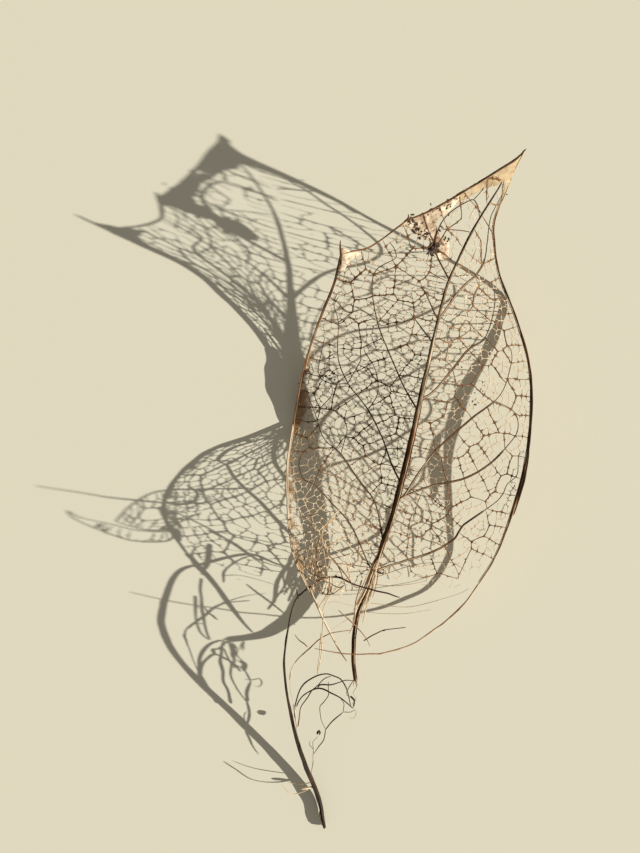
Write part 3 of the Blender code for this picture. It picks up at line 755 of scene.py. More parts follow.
@dataclass
class StripWeaver:
    """Weaves a closed net of rounded strips along the edges of a vein map."""

    depth_to_width: float = 1.8
    longest_mitre: float = 2.2
    most_of_edge: float = 0.42
    end_taper: float = 0.6
    nearly_straight: float = 0.12
    nearly_folded: float = 0.02
    unevenness: float = 0.03
    mottle: float = 0.1
    joint_stain: float = 0.18
    rounds: int = 1

    def corners(self, drawing: VeinMap, index: int, others: list[int]) -> list[np.ndarray]:
        """The corners of the strips round one point.

        Args:
            drawing: the map of veins.
            index: the point.
            others: its neighbours, in order of direction.

        Returns:
            For each neighbour the corner to the left of the vein to it. A vein that ends here
            has two, its left and its right.
        """
        place = np.array(drawing.points[index])
        runs = [np.array(drawing.points[other]) - place for other in others]
        lengths = [float(np.hypot(*run)) for run in runs]
        ways = [run / length for run, length in zip(runs, lengths)]
        halves = [drawing.half_width(index, other) for other in others]
        if len(others) == 1:
            across = left_of(ways[0]) * halves[0] * self.end_taper
            return [place + across, place - across]
        made = []
        for one in range(len(others)):
            two = (one + 1) % len(others)
            cross = ways[one][0] * ways[two][1] - ways[one][1] * ways[two][0]
            turn = math.atan2(cross, float(ways[one] @ ways[two])) % (2 * math.pi)
            if turn > math.pi:
                reach = self.longest_mitre * max(halves[one], halves[two])
            else:
                reach = self.most_of_edge * min(lengths[one], lengths[two])
            side = left_of(ways[one])
            if abs(math.sin(turn)) < self.nearly_straight and math.cos(turn) < 0.0:
                away = side * (halves[one] + halves[two]) / 2
            elif abs(math.sin(turn)) < self.nearly_folded:
                away = (ways[one] + ways[two]) / 2 * reach
            else:
                along = (halves[two] + halves[one] * math.cos(turn)) / math.sin(turn)
                away = side * halves[one] + ways[one] * along
            length = float(np.hypot(*away))
            made.append(place + (away * (reach / length) if length > reach else away))
        return made

    def weave(self, drawing: VeinMap, lift: Callable[[np.ndarray], np.ndarray],
              pale: Callable[[Place, float], float], name: str) -> bpy.types.Object:
        """Make the net.

        Args:
            drawing: the map of veins.
            lift: gives each place of the drawing its point in space.
            pale: how pale a vein is at a place, from the place and half the vein's width.
            name: the new piece's name.

        Returns:
            The net, as a closed mesh.
        """
        chance = random.Random(len(drawing.edges))
        mesh = bmesh.new()
        depths = mesh.verts.layers.deform.verify()
        paleness = mesh.verts.layers.float.new("paleness")
        greatest = 2 * max(drawing.edges.values()) * self.depth_to_width
        corner: dict[tuple[int, int, str], bmesh.types.BMVert] = {}
        for index, others in sorted(drawing.neighbours().items()):
            widest = 2 * max(drawing.half_width(index, other) for other in others)
            spots = np.array(self.corners(drawing, index, others))
            raised = chance.uniform(-1, 1) * self.unevenness
            shade = pale(drawing.points[index], widest / 2)
            shade += chance.uniform(-self.mottle, self.mottle)
            shade -= self.joint_stain * (len(others) > 2)
            made = []
            for x, y, z in lift(spots):
                vert = mesh.verts.new((x * MM, y * MM, (z + raised) * MM))
                vert[depths][0] = widest * self.depth_to_width / greatest
                vert[paleness] = shade
                made.append(vert)
            for side, other in enumerate(others):
                corner[index, other, "left"] = made[side]
                corner[index, other, "right"] = made[side - 1]
            if len(others) > 2:
                mesh.faces.new(made)
        for start, end in drawing.edges:
            mesh.faces.new((corner[start, end, "right"], corner[end, start, "left"],
                            corner[end, start, "right"], corner[start, end, "left"]))
        net = gather(mesh, name)
        net.vertex_groups.new(name="depth")
        thicken(net, greatest, "depth")
        rounding = net.modifiers.new("rounding", "SUBSURF")
        rounding.levels = rounding.render_levels = self.rounds
        apply_modifiers(net)
        return net


@dataclass
class Strand:
    """One vein or fibre: where it runs, and its widths along the way.

    Its height over its width (tall) and its paleness may change along the way too. The side that
    faces the light gets a painted highlight; wander and knots make its course and width uneven.
    """

    route: Sequence[Spot]
    widths: Sequence[float]
    tall: Sequence[float] = (1.0,)
    paleness: float | Sequence[float] = 0.4
    # painted highlight: how much paler the side that faces the key light is made
    painted_lit_side: float = 0.0
    wander: float = 0.02
    knots: float = 0.12
    step: float = 0.3


@dataclass
class StrandSpinner:
    """Spins strands into one mesh of uneven, ribbed threads with closed ends."""

    seed: int
    sides: int = 10
    ribs: float = 0.10
    twist: float = 1.5
    held_ends: float = 8.0
    steep: float = 0.2
    end_taper: float = 0.6
    mottle: float = 0.12

    def spin(self, strands: Iterable[Strand], name: str) -> bpy.types.Object:
        """Make the threads.

        Args:
            strands: the veins or fibres.
            name: the new piece's name.

        Returns:
            The threads, as closed tubes in one mesh.
        """
        chance = np.random.default_rng(self.seed)
        places, faces, paleness = [], [], []
        for strand in strands:
            first = sum(len(ring) for ring in places)
            rings, pale = self.rings(strand, chance)
            count = len(rings)
            places.append(rings.reshape(-1, 3))
            paleness.append(pale.ravel())
            around = [(side, (side + 1) % self.sides) for side in range(self.sides)]
            faces.append([first + side for side in range(self.sides)])
            for ring in range(count - 1):
                low, high = first + ring * self.sides, first + (ring + 1) * self.sides
                faces.extend([low + one, high + one, high + two, low + two]
                             for one, two in around)
            faces.append([first + (count - 1) * self.sides + side
                          for side in reversed(range(self.sides))])
        data = bpy.data.meshes.new(name)
        data.from_pydata((np.vstack(places) * MM).tolist(), [], faces)
        data.attributes.new("paleness", "FLOAT", "POINT").data.foreach_set(
            "value", np.concatenate(paleness).astype(np.float32))
        data.update()
        return new_object(name, data)

    def rings(self, strand: Strand, chance: np.random.Generator) -> tuple[np.ndarray, np.ndarray]:
        """The rings of points round one strand.

        Args:
            strand: the strand.
            chance: the source of random numbers.

        Returns:
            The points, ring by ring, and how pale each one is.
        """
        route = smooth_curve(strand.route, strand.step)
        count = len(route)
        gaps = np.linalg.norm(np.diff(route, axis=0), axis=1)
        share = np.concatenate([[0.0], gaps.cumsum()]) / gaps.sum()
        free = np.minimum(1.0, np.minimum(share, 1 - share) * self.held_ends)[:, None]
        route = route + self.ripple(chance, count, 3) * strand.wander * free
        along = np.gradient(route, axis=0)
        along /= np.linalg.norm(along, axis=1)[:, None]
        side = np.cross(along, (0.0, 0.0, 1.0))
        for index in range(count):
            if np.linalg.norm(side[index]) < self.steep:
                known = side[index - 1] if index else np.array([1.0, 0.0, 0.0])
                side[index] = known - along[index] * (known @ along[index])
            side[index] /= np.linalg.norm(side[index])
            if index and side[index] @ side[index - 1] < 0:
                side[index] *= -1
        up = np.cross(side, along)
        angle = np.linspace(0, 2 * math.pi, self.sides, endpoint=False)[None, :, None]
        twist = (self.ripple(chance, count, 2) * self.twist).T[:, :, None, None]
        shape = 1 + self.ribs * (0.6 * np.cos(3 * angle + twist[0])
                                 + 0.4 * np.cos(5 * angle + twist[1]))
        swell = 1 + self.ripple(chance, count, 1) * strand.knots
        swell[[0, -1]] *= self.end_taper
        radius = (spread(strand.widths, share) / 2)[:, None, None] * swell[:, None] * shape
        tall = spread(strand.tall, share)[:, None, None]
        aside, above = np.cos(angle) * side[:, None], np.sin(angle) * up[:, None]
        rings = route[:, None] + radius * (aside + above * tall)
        # The side that faces the key light, towards +X, is made paler: a painted highlight.
        pale = (spread(np.atleast_1d(strand.paleness), share)[:, None]
                + strand.painted_lit_side * np.maximum(0.0, (aside + above)[..., 0]))
        return rings, pale + self.ripple(chance, count, 1) * self.mottle

    @staticmethod
    def ripple(chance: np.random.Generator, count: int, across: int) -> np.ndarray:
        """Smooth random waves about nought.

        Args:
            chance: the source of random numbers.
            count: how many points they are read at.
            across: how many waves there are.

        Returns:
            One wave a column.
        """
        knots = chance.uniform(-1, 1, (max(4, count // 4), across))
        at = np.linspace(0, len(knots) - 1, count)
        return np.column_stack([np.interp(at, np.arange(len(knots)), knots[:, k])
                                for k in range(across)])


# ---------------------------------------------------------------------------------------------
# Finishes
# ---------------------------------------------------------------------------------------------

class Value:
    """A node socket that can be used in sums, each of which adds a Math node."""

    def __init__(self, tree: bpy.types.NodeTree, socket: bpy.types.NodeSocket) -> None:
        """Wrap one output socket of a tree."""
        self.tree = tree
        self.socket = socket

    def sum(self, operation: str, first: "Value | float", second: "Value | float") -> "Value":
        """Add a Math node.

        Args:
            operation: what it does.
            first: its first input.
            second: its second input.

        Returns:
            Its output.
        """
        node = self.tree.nodes.new("ShaderNodeMath")
        node.operation = operation
        for slot, value in zip(node.inputs, (first, second)):
            if isinstance(value, Value):
                self.tree.links.new(value.socket, slot)
            else:
                slot.default_value = value
        return Value(self.tree, node.outputs[0])

    def __add__(self, other: "Value | float") -> "Value":
        """Value plus other."""
        return self.sum("ADD", self, other)

    def __radd__(self, other: float) -> "Value":
        """Other plus value."""
        return self.sum("ADD", other, self)

    def __sub__(self, other: "Value | float") -> "Value":
        """Value less other."""
        return self.sum("SUBTRACT", self, other)

    def __rsub__(self, other: float) -> "Value":
        """Other less value."""
        return self.sum("SUBTRACT", other, self)

    def __mul__(self, other: "Value | float") -> "Value":
        """Value times other."""
        return self.sum("MULTIPLY", self, other)

    def __rmul__(self, other: float) -> "Value":
        """Other times value."""
        return self.sum("MULTIPLY", other, self)

    def held(self) -> "Value":
        """The value kept between nought and one."""
        return self.sum("MAXIMUM", self.sum("MINIMUM", self, 1.0), 0.0)


Colour = tuple[float, float, float]
FINE_BUMP = 0.05 * MM
COARSE_BUMP = 0.1 * MM


class Surface:
    """A material under construction: its nodes and its shader."""

    def __init__(self, name: str) -> None:
        """Start a material with nothing but its shader.

        Args:
            name: the material's name.
        """
        self.material = bpy.data.materials.new(name)
        self.material.use_nodes = True
        self.tree = self.material.node_tree
        self.shader = self.tree.nodes["Principled BSDF"]
        self.place = self.node("ShaderNodeTexCoord").outputs["Object"]

    def node(self, kind: str, settings: dict | None = None,
             sockets: dict | None = None) -> bpy.types.Node:
        """Add a node.

        Args:
            kind: the node's type.
            settings: its own settings, set first.
            sockets: a value, a Value or another node's socket for each named input.

        Returns:
            The node.
        """
        made = self.tree.nodes.new(kind)
        for name, value in (settings or {}).items():
            setattr(made, name, value)
        for name, value in (sockets or {}).items():
            self.feed(made.inputs[name], value)
        return made

    def feed(self, slot: bpy.types.NodeSocket, value: object) -> None:
        """Fill an input socket.

        Args:
            slot: the socket.
            value: its number or colour, or the Value or socket that is linked to it.
        """
        if isinstance(value, Value):
            self.tree.links.new(value.socket, slot)
        elif isinstance(value, bpy.types.NodeSocket):
            self.tree.links.new(value, slot)
        else:
            slot.default_value = value

    def noise(self, scale: float, detail: float = 2.0, stretch: Spot = (1.0, 1.0, 1.0)) -> Value:
        """Noise in the object's own space.

        Args:
            scale: how many cycles it has in a metre.
            detail: how many finer layers it has.
            stretch: how much closer its cycles are along each axis.

        Returns:
            The noise, from nought to one.
        """
        mapping = self.node("ShaderNodeMapping", {"vector_type": "POINT"},
                            {"Vector": self.place, "Scale": stretch})
        noise = self.node("ShaderNodeTexNoise", {"noise_dimensions": "3D"},
                          {"Vector": mapping.outputs[0], "Scale": scale, "Detail": detail})
        return Value(self.tree, noise.outputs[0])

    def blend(self, share: Value, first: object, second: object) -> bpy.types.NodeSocket:
        """Mix two colours.

        Args:
            share: how much of the second there is.
            first: the first, as a colour or another node's socket.
            second: the second, in the same way.

        Returns:
            The socket of the mixed colour.
        """
        mix = self.node("ShaderNodeMix", {"data_type": "RGBA"})
        slots = [slot for slot in mix.inputs if slot.enabled]
        for slot, value in zip(slots, (share, first, second)):
            if isinstance(value, tuple):
                value = (*value, 1.0)
            self.feed(slot, value)
        return next(slot for slot in mix.outputs if slot.enabled)

    def bump(self, height: Value, strength: float, distance: float) -> None:
        """Raise the surface's shading by a height.

        Args:
            height: the height, from nought to one.
            strength: how much of the bump shows.
            distance: how high it is, in metres.
        """
        bump = self.node("ShaderNodeBump", {}, {"Height": height, "Strength": strength,
                                                "Distance": distance})
        self.feed(self.shader.inputs["Normal"], bump.outputs[0])

    def set(self, **sockets: object) -> None:
        """Set the shader's sockets.

        Args:
            sockets: the values by the sockets' names, with underscores for spaces.
        """
        for name, value in sockets.items():
            if isinstance(value, tuple):
                value = (*value, 1.0)
            self.feed(self.shader.inputs[name.replace("_", " ")], value)


@dataclass(frozen=True)
class VeinWood:
    """Dry vein wood, which each vein's paleness takes from black-brown to straw."""

    name: str
    dark: Colour = (0.036, 0.0155, 0.0042)
    brown: Colour = (0.235, 0.112, 0.040)
    straw: Colour = (0.72, 0.575, 0.375)
    patchiness: float = 0.8
    graininess: float = 0.45
    roughness: float = 0.6
    sheen: float = 0.16

    def make(self) -> bpy.types.Material:
        """Build the material."""
        surface = Surface(self.name)
        paleness = Value(surface.tree, surface.node(
            "ShaderNodeAttribute", {"attribute_name": "paleness"}).outputs["Fac"])
        patches = surface.noise(420.0, 3.0)
        grain = surface.noise(3000.0, 4.0, (1.0, 0.25, 1.0))
        share = paleness + (patches - 0.5) * self.patchiness + (grain - 0.5) * self.graininess
        stained = surface.blend((share * 2.0).held(), self.dark, self.brown)
        colour = surface.blend((share * 2.0 - 1.0).held(), stained, self.straw)
        surface.set(Base_Color=colour, Roughness=self.roughness + (grain - 0.5) * 0.35,
                    Specular_IOR_Level=self.sheen)
        surface.bump(grain + surface.noise(9000.0, 2.0) * 0.4, 0.5, FINE_BUMP)
        return surface.material


@dataclass(frozen=True)
class DrySkin:
    """A scrap of the leaf's dried skin: thin, tan and full of small holes."""

    name: str
    thin: Colour
    thick: Colour
    cover: float
    sheen: float = 0.12

    def make(self) -> bpy.types.Material:
        """Build the material."""
        surface = Surface(self.name)
        clouds = surface.noise(700.0, 5.0)
        cells = surface.noise(2400.0, 3.0)
        share = ((clouds - 0.5) * 3.2 + (cells - 0.5) * 1.2 + 0.38).held()
        colour = surface.blend(share, self.thin, self.thick)
        holes = ((clouds - (0.66 - self.cover * 0.42)) * 7.0 + (cells - 0.5) * 1.6).held()
        surface.set(Base_Color=colour, Roughness=0.55 + (cells - 0.5) * 0.3, Alpha=holes,
                    Specular_IOR_Level=self.sheen)
        surface.bump(cells, 0.4, FINE_BUMP)
        return surface.material


@dataclass(frozen=True)
class DarkRot:
    """Crumbs of blackened tissue caught in the net."""

    name: str = "dark_rot"
    black: Colour = (0.026, 0.013, 0.006)
    brown: Colour = (0.130, 0.070, 0.034)

    def make(self) -> bpy.types.Material:
        """Build the material."""
        surface = Surface(self.name)
        lumps = surface.noise(3000.0, 4.0)
        colour = surface.blend(((lumps - 0.4) * 3.0).held(), self.black, self.brown)
        surface.set(Base_Color=colour, Roughness=0.7 + (lumps - 0.5) * 0.3)
        surface.bump(lumps, 0.6, COARSE_BUMP)
        return surface.material


@dataclass(frozen=True)
class PaleFloor:
    """The smooth pale surface that the leaf lies on."""

    name: str = "pale_floor"
    colour: Colour = (0.785, 0.752, 0.585)
    dimmer: float = 0.985

    def make(self) -> bpy.types.Material:
        """Build the material."""
        surface = Surface(self.name)
        cloud = surface.noise(9.0, 2.0)
        shade = surface.blend(((cloud - 0.5) * 0.6 + 0.5).held(), self.colour,
                              tuple(part * self.dimmer for part in self.colour))
        surface.set(Base_Color=shade, Roughness=0.85)
        return surface.material


VEIN_WOOD = VeinWood("vein_wood")
NET_WOOD = VeinWood("net_wood", patchiness=0.7)
STALK_WOOD = VeinWood("stalk_wood", (0.020, 0.012, 0.0055), (0.12, 0.066, 0.028), patchiness=0.5)
PALE_SKIN = DrySkin("pale_skin", (0.60, 0.46, 0.27), (0.34, 0.23, 0.12), 1.0)
BROWN_SKIN = DrySkin("brown_skin", (0.95, 0.80, 0.57), (0.24, 0.12, 0.05), 1.0)
LACY_SKIN = DrySkin("lacy_skin", (0.66, 0.50, 0.31), (0.24, 0.13, 0.055), 0.50)
Finish = VeinWood | DrySkin | DarkRot


# ---------------------------------------------------------------------------------------------
# The leaf's own pieces
# ---------------------------------------------------------------------------------------------

def settle(piece: bpy.types.Object, finish: Finish) -> None:
    """Dress a finished piece, keep it above the floor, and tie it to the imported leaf.

    Args:
        piece: the piece.
        finish: its finish, whose material is made once and then shared.
    """
    piece.data.materials.clear()
    piece.data.materials.append(bpy.data.materials.get(finish.name) or finish.make())
    for vert in piece.data.vertices:
        vert.co.z = max(vert.co.z, FLOOR_GAP * MM)
    for face in piece.data.polygons:
        face.use_smooth = True
    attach(piece, "root")
    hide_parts(NODE)
    log.info("%s: %d faces", piece.name, len(piece.data.polygons))


def offset_route(route: np.ndarray, aside: float | np.ndarray,
                 up: float | np.ndarray) -> np.ndarray:
    """A route moved to its own left and upwards.

    Args:
        route: the route's points, one a row.
        aside: how far to the left, as one amount or one for each point.
        up: how far upwards, in the same way.

    Returns:
        The points of the moved route.
    """
    run = np.gradient(route, axis=0)
    level = np.column_stack([-run[:, 1], run[:, 0]])
    level /= np.hypot(*level.T)[:, None]
    aside, up = (np.broadcast_to(amount, len(route)) for amount in (aside, up))
    return route + np.column_stack([level * aside[:, None], up])


@dataclass
class SubAssembly:
    """Some of the leaf's pieces, all with one finish."""

    finish: ClassVar[Finish] = VEIN_WOOD

    def dress(self, pieces: list[bpy.types.Object]) -> None:
        """Give each piece the finish and settle it."""
        for piece in pieces:
            settle(piece, self.finish)


@dataclass
class Midrib(SubAssembly):
    """The midrib: a keel deeper than it is wide, with darker fibres down both sides."""

    widths: tuple[float, ...] = (0.34, 0.38, 0.38, 0.44, 0.52, 0.54, 0.40, 0.28, 0.20, 0.17, 0.12)
    tall: tuple[float, ...] = (1.8, 2.9, 4.0, 3.6, 3.5, 3.4, 3.6, 2.1, 1.6, 1.2, 1.0)
    paleness: tuple[float, ...] = (0.04, 0.08, 0.15, 0.15, 0.25, 0.45, 0.85, 0.8, 0.25, 0.1, 0.15)
    keel_share: float = 0.9
    fray_count: int = 16
    fray_from: Range = (-12.5, -9.0)
    fray_reach: Range = (0.25, 0.85)
    fray_height: float = 3.4

    def build(self) -> list[bpy.types.Object]:
        """Spin the keel, its side fibres, and the fray at and above its broken end."""
        line = smooth_curve(MIDRIB[:-1] + [KEEL_TIP], 0.6)
        widths = np.array(self.widths)
        along = np.linspace(0, 1, len(line))
        half = spread(widths, along) / 2
        rise = half * spread(self.tall, along)
        strands = [Strand(line, widths * self.keel_share, self.tall, self.paleness,
                          painted_lit_side=0.12, knots=0.10)]
        # Fibres down both sides, and a paler one along the top towards the light, partly its own
        # straw colour and partly a painted highlight; the last number of each is its painted
        # highlight on the lit side.
        for aside, up, thick, pale, lit in ((1.0, 0.20, 0.34, 0.00, 0.0),
                                            (0.8, 0.55, 0.26, 0.04, 0.0),
                                            (-1.0, 0.35, 0.22, 0.10, 0.0),
                                            (-0.3, 0.85, 0.20, 0.60, 0.2)):
            strands.append(Strand(offset_route(line, aside * half, up * rise), widths * thick,
                                  (1.4,), pale, lit, wander=0.05, knots=0.2))
        strands += self.fray() + self.broken_end()
        return [StrandSpinner(3, 12).spin(strands, "midrib")]

    def fray(self) -> list[Strand]:
        """The fibres that have come loose on both sides, just above the broken end."""
        chance = random.Random(9)
        known = np.array(MIDRIB)
        made = []
        for _ in range(self.fray_count):
            low, side = chance.uniform(*self.fray_from), chance.choice((-1, 1))
            reach = chance.uniform(*self.fray_reach) * side
            route = [(float(np.interp(y, known[:, 1], known[:, 0])) + aside, y,
                      self.fray_height + chance.uniform(0.0, 0.8))
                     for y, aside in ((low, reach), (low + 1.8, reach * 0.8),
                                      (low + 3.4, reach * 0.45), (low + 5.0, 0.1 * side))]
            made.append(Strand(route, (0.06, 0.11, 0.10), (1.2,), chance.uniform(0.6, 1.1),
                               painted_lit_side=0.1, wander=0.06, knots=0.2))
        return made

    def broken_end(self) -> list[Strand]:
        """Three short splinters at the very end."""
        return [Strand([(-6.0, -17.9, 6.0), (-6.0 + x * 0.4, -18.4, 6.1),
                        (-6.0 + x, -18.6 + y, 6.1)], (0.14, 0.05), (1.0,), 0.3)
                for x, y in ((-0.25, -0.35), (0.15, -0.5), (0.3, -0.2))]


@dataclass
class Margins(SubAssembly):
    """The edge of the blade: a thin ribbon on edge, and its spines."""

    left_widths: tuple[float, ...] = (0.17, 0.18, 0.19, 0.18, 0.16, 0.18, 0.20)
    left_tall: tuple[float, ...] = (1.3, 1.4, 1.6, 2.0, 2.4, 2.4, 2.4)
    left_paleness: tuple[float, ...] = (0.75, 0.80, 0.80, 0.70, 0.35, 0.10, 0.12)
    top_widths: tuple[float, ...] = (0.16, 0.16, 0.17, 0.20, 0.20)
    right_widths: tuple[float, ...] = (0.08, 0.12, 0.18, 0.19, 0.19, 0.20, 0.22, 0.26, 0.17, 0.15)
    right_tall: tuple[float, ...] = (1.2, 2.0, 1.6, 2.2, 2.8, 3.5, 3.7, 1.5, 2.2, 2.3)
    right_paleness: tuple[float, ...] = (0.9, 0.9, 0.12, 0.10, 0.2, 0.15, 0.08, 0.06, 0.5, 0.6)
    spine_width: float = 0.26
    inner_fibre: float = 0.16

    def build(self) -> list[bpy.types.Object]:
        """Spin the margin in three stretches, two with a fibre just inside, and its spines."""
        made = []
        for seed, (name, line, widths, tall, pale) in enumerate((
                ("margin_left", LEFT_MARGIN, self.left_widths, self.left_tall,
                 self.left_paleness),
                ("margin_top", TOP_EDGE, self.top_widths, (1.6,), (0.45, 0.30, 0.10, 0.08)),
                ("margin_right", RIGHT_MARGIN, self.right_widths, self.right_tall,
                 self.right_paleness))):
            route = smooth_curve(line, 0.8)
            strands = [Strand(route, widths, tall, pale, painted_lit_side=0.25, knots=0.15)]
            uneven = {"painted_lit_side": 0.2, "wander": 0.04, "knots": 0.2}
            if line is not TOP_EDGE:
                strands.append(Strand(offset_route(route, -self.inner_fibre, 0.03),
                                      (0.06, 0.09, 0.09), (1.2,), np.array(pale) + 0.25, **uneven))
            if line is LEFT_MARGIN:
                strands.append(Strand(STANDING_STRIP, (0.08, 0.12, 0.14, 0.14, 0.08),
                                      (4.0, 7.0, 10.0, 10.0, 7.0), (0.5, 0.3, 0.2), **uneven))
            if line is RIGHT_MARGIN:
                strands.append(Strand(TURNED_UP_EDGE, (0.05, 0.18, 0.28, 0.24, 0.10),
                                      (2.0, 3.2, 3.2, 3.2, 3.0), 0.05, **uneven))
            made.append(StrandSpinner(20 + seed).spin(strands, name))
        tips = [Strand(spine, (self.spine_width * thick, self.spine_width, 0.10), (1.3,), 0.10,
                       painted_lit_side=0.2, wander=0.0, knots=0.05, step=0.2)
                for spine, thick in zip(SPINES, (0.8, 0.8, 0.6))]
        return made + [StrandSpinner(30).spin(tips, "spines")]


@dataclass
class SideVeins(SubAssembly):
    """The side veins and their forks, on both sides of the midrib."""

    plate: Plate
    root_width: float = 0.18
    fork_width: float = 0.11
    tip_width: float = 0.075
    sheath_edge: float = 0.075
    midrib_gap: float = 0.8
    knots: float = 0.14

    def strands(self, veins: list[list[Place]], pale: float, sheathed: bool) -> list[Strand]:
        """The strands of some veins.

        Args:
            veins: where the veins run, seen from above.
            pale: how pale they are.
            sheathed: whether those from the midrib are straw with two dark edges.

        Returns:
            A strand for each vein, which starts thick if it leaves the midrib, and its edges.
        """
        midrib = smooth_curve(MIDRIB, 0.5)[:, :2]
        made = []
        for vein in veins:
            route = self.plate.lift(smooth_curve(vein, 0.7))
            from_midrib = np.hypot(*(midrib - route[0, :2]).T).min() < self.midrib_gap
            width = self.root_width if from_midrib else self.fork_width
            widths = (width, (width + self.tip_width) / 2, self.tip_width)
            if not (from_midrib and sheathed):
                made.append(Strand(route, widths, (2.2,), pale, 0.15, knots=self.knots))
                continue
            stain = (pale + 0.6, pale + 0.45, pale, pale - 0.1, pale - 0.1)
            made.append(Strand(route, widths, (1.9,), stain, 0.1, knots=self.knots))
            for side in (-1, 1):
                edge = offset_route(route, side * width * 0.5, 0.02)
                made.append(Strand(edge[:len(edge) * 2 // 3], (self.sheath_edge, 0.05), (1.6,),
                                   pale - 0.15, knots=self.knots))
        return made

    def build(self) -> list[bpy.types.Object]:
        """Spin the two sets of veins."""
        # The right veins are paler than the left: partly their own colour, partly painted light on
        # the half that faces the light.
        left, right = self.strands(LEFT_VEINS, 0.12, False), self.strands(RIGHT_VEINS, 0.20, True)
        return [StrandSpinner(41, 8).spin(left, "side_veins_left"),
                StrandSpinner(42, 8).spin(right, "side_veins_right")]


@dataclass
class NetPlan:
    """How a sheet divides: middle cells, fine cells inside them, and free ends in those."""

    middle_size: float = 2.5
    fine_size: float = 0.84
    middle_width: float = 0.085
    fine_width: float = 0.042
    spur_width: float = 0.036
    wall_step: float = 0.6
    bend: float = 0.10
    shortest_bent: float = 0.22
    spur_share: float = 0.40
    spur_reach: Range = (0.2, 0.42)
    fork_share: float = 0.35
    joined_gap: float = 0.015
    shortest_edge: float = 0.11
    seed: int = 11
    wear: Callable[[Place], float] = lambda place: 0.03

    def draw(self, veins: list[np.ndarray], outline: np.ndarray) -> VeinMap:
        """Draw the net of one sheet.

        Args:
            veins: every larger vein and edge that the net hangs between.
            outline: the edge of the sheet.

        Returns:
            The map of the net, without the larger veins.
        """
        chance = random.Random(self.seed)
        large_cells = CellDivider(self.middle_size, jitter=0.34, snap=0.28, seed=self.seed)
        small_cells = CellDivider(self.fine_size, jitter=0.36, snap=0.24, seed=self.seed + 1)
        middle = large_cells.divide(veins, outline)
        fine = small_cells.divide(veins + [np.array(wall) for wall in middle], outline)
        walls = [Wall(tuple(start), tuple(end), Rank.LARGE)
                 for vein in veins for start, end in zip(vein[:, :2], vein[1:, :2])]
        for rank, pairs, share in ((Rank.MIDDLE, middle, 0.25), (Rank.FINE, fine, 1.0)):
            for start, end in pairs:
                if chance.random() >= self.wear(halfway(start, end)) * share:
                    walls.extend(self.bent_wall(start, end, rank, chance))
        return self.join_up(walls)

    def bent_wall(self, start: Place, end: Place, rank: Rank,
                  chance: random.Random) -> list[Wall]:
        """One wall, a little bent, sometimes with a spur that ends in the cell.

        Args:
            start: one end.
            end: the other end.
            rank: how thick it is.
            chance: the source of random numbers.

        Returns:
            The stretches of the wall and of its spur.
        """
        first, last = np.array(start), np.array(end)
        run = last - first
        length = float(np.hypot(*run))
        if length < self.shortest_bent:
            return [Wall(start, end, rank)]
        across = left_of(run) / length
        parts = max(2, round(length / self.wall_step))
        corners = [first]
        for index in range(1, parts):
            aside = chance.uniform(-1, 1) * self.bend * length / parts * 1.6
            corners.append(first + run * index / parts + across * aside)
        corners.append(last)
        made = [Wall(tuple(one), tuple(two), rank) for one, two in zip(corners, corners[1:])]
        if chance.random() < self.spur_share:
            root = corners[len(corners) // 2]
            side = chance.choice((-1, 1))
            reach = self.fine_size * chance.uniform(*self.spur_reach)
            lean = run / length * chance.uniform(-0.5, 0.5)
            tip = root + (across * side + lean) * reach
            made.append(Wall(tuple(root), tuple(tip), Rank.SPUR))
            if chance.random() < self.fork_share:
                way = across * side * 0.5 + run / length * chance.choice((-1, 1))
                made.append(Wall(tuple(tip), tuple(tip + way * reach * 0.5), Rank.SPUR))
        return made

    def join_up(self, walls: list[Wall]) -> VeinMap:
        """Turn loose walls into a map with a point at every crossing.

        Args:
            walls: the walls, large veins among them.

        Returns:
            The map of the net, without the large veins.
        """
        corners = [end for wall in walls for end in (wall.start, wall.end)]
        pairs = [(2 * index, 2 * index + 1) for index in range(len(walls))]
        places, edges, _, _, sources, _ = delaunay_2d_cdt(corners, pairs, [], 2, self.joined_gap)
        halves = {Rank.LARGE: math.inf, Rank.MIDDLE: self.middle_width / 2,
                  Rank.FINE: self.fine_width / 2, Rank.SPUR: self.spur_width / 2}
        net = VeinMap([tuple(place) for place in places])
        for (start, end), found in zip(edges, sources):
            if found:
                net.join(start, end, max(halves[walls[source].rank] for source in found))
        net.weld_short_edges(self.shortest_edge)
        net.edges = {key: half for key, half in net.edges.items() if half < math.inf}
        return net


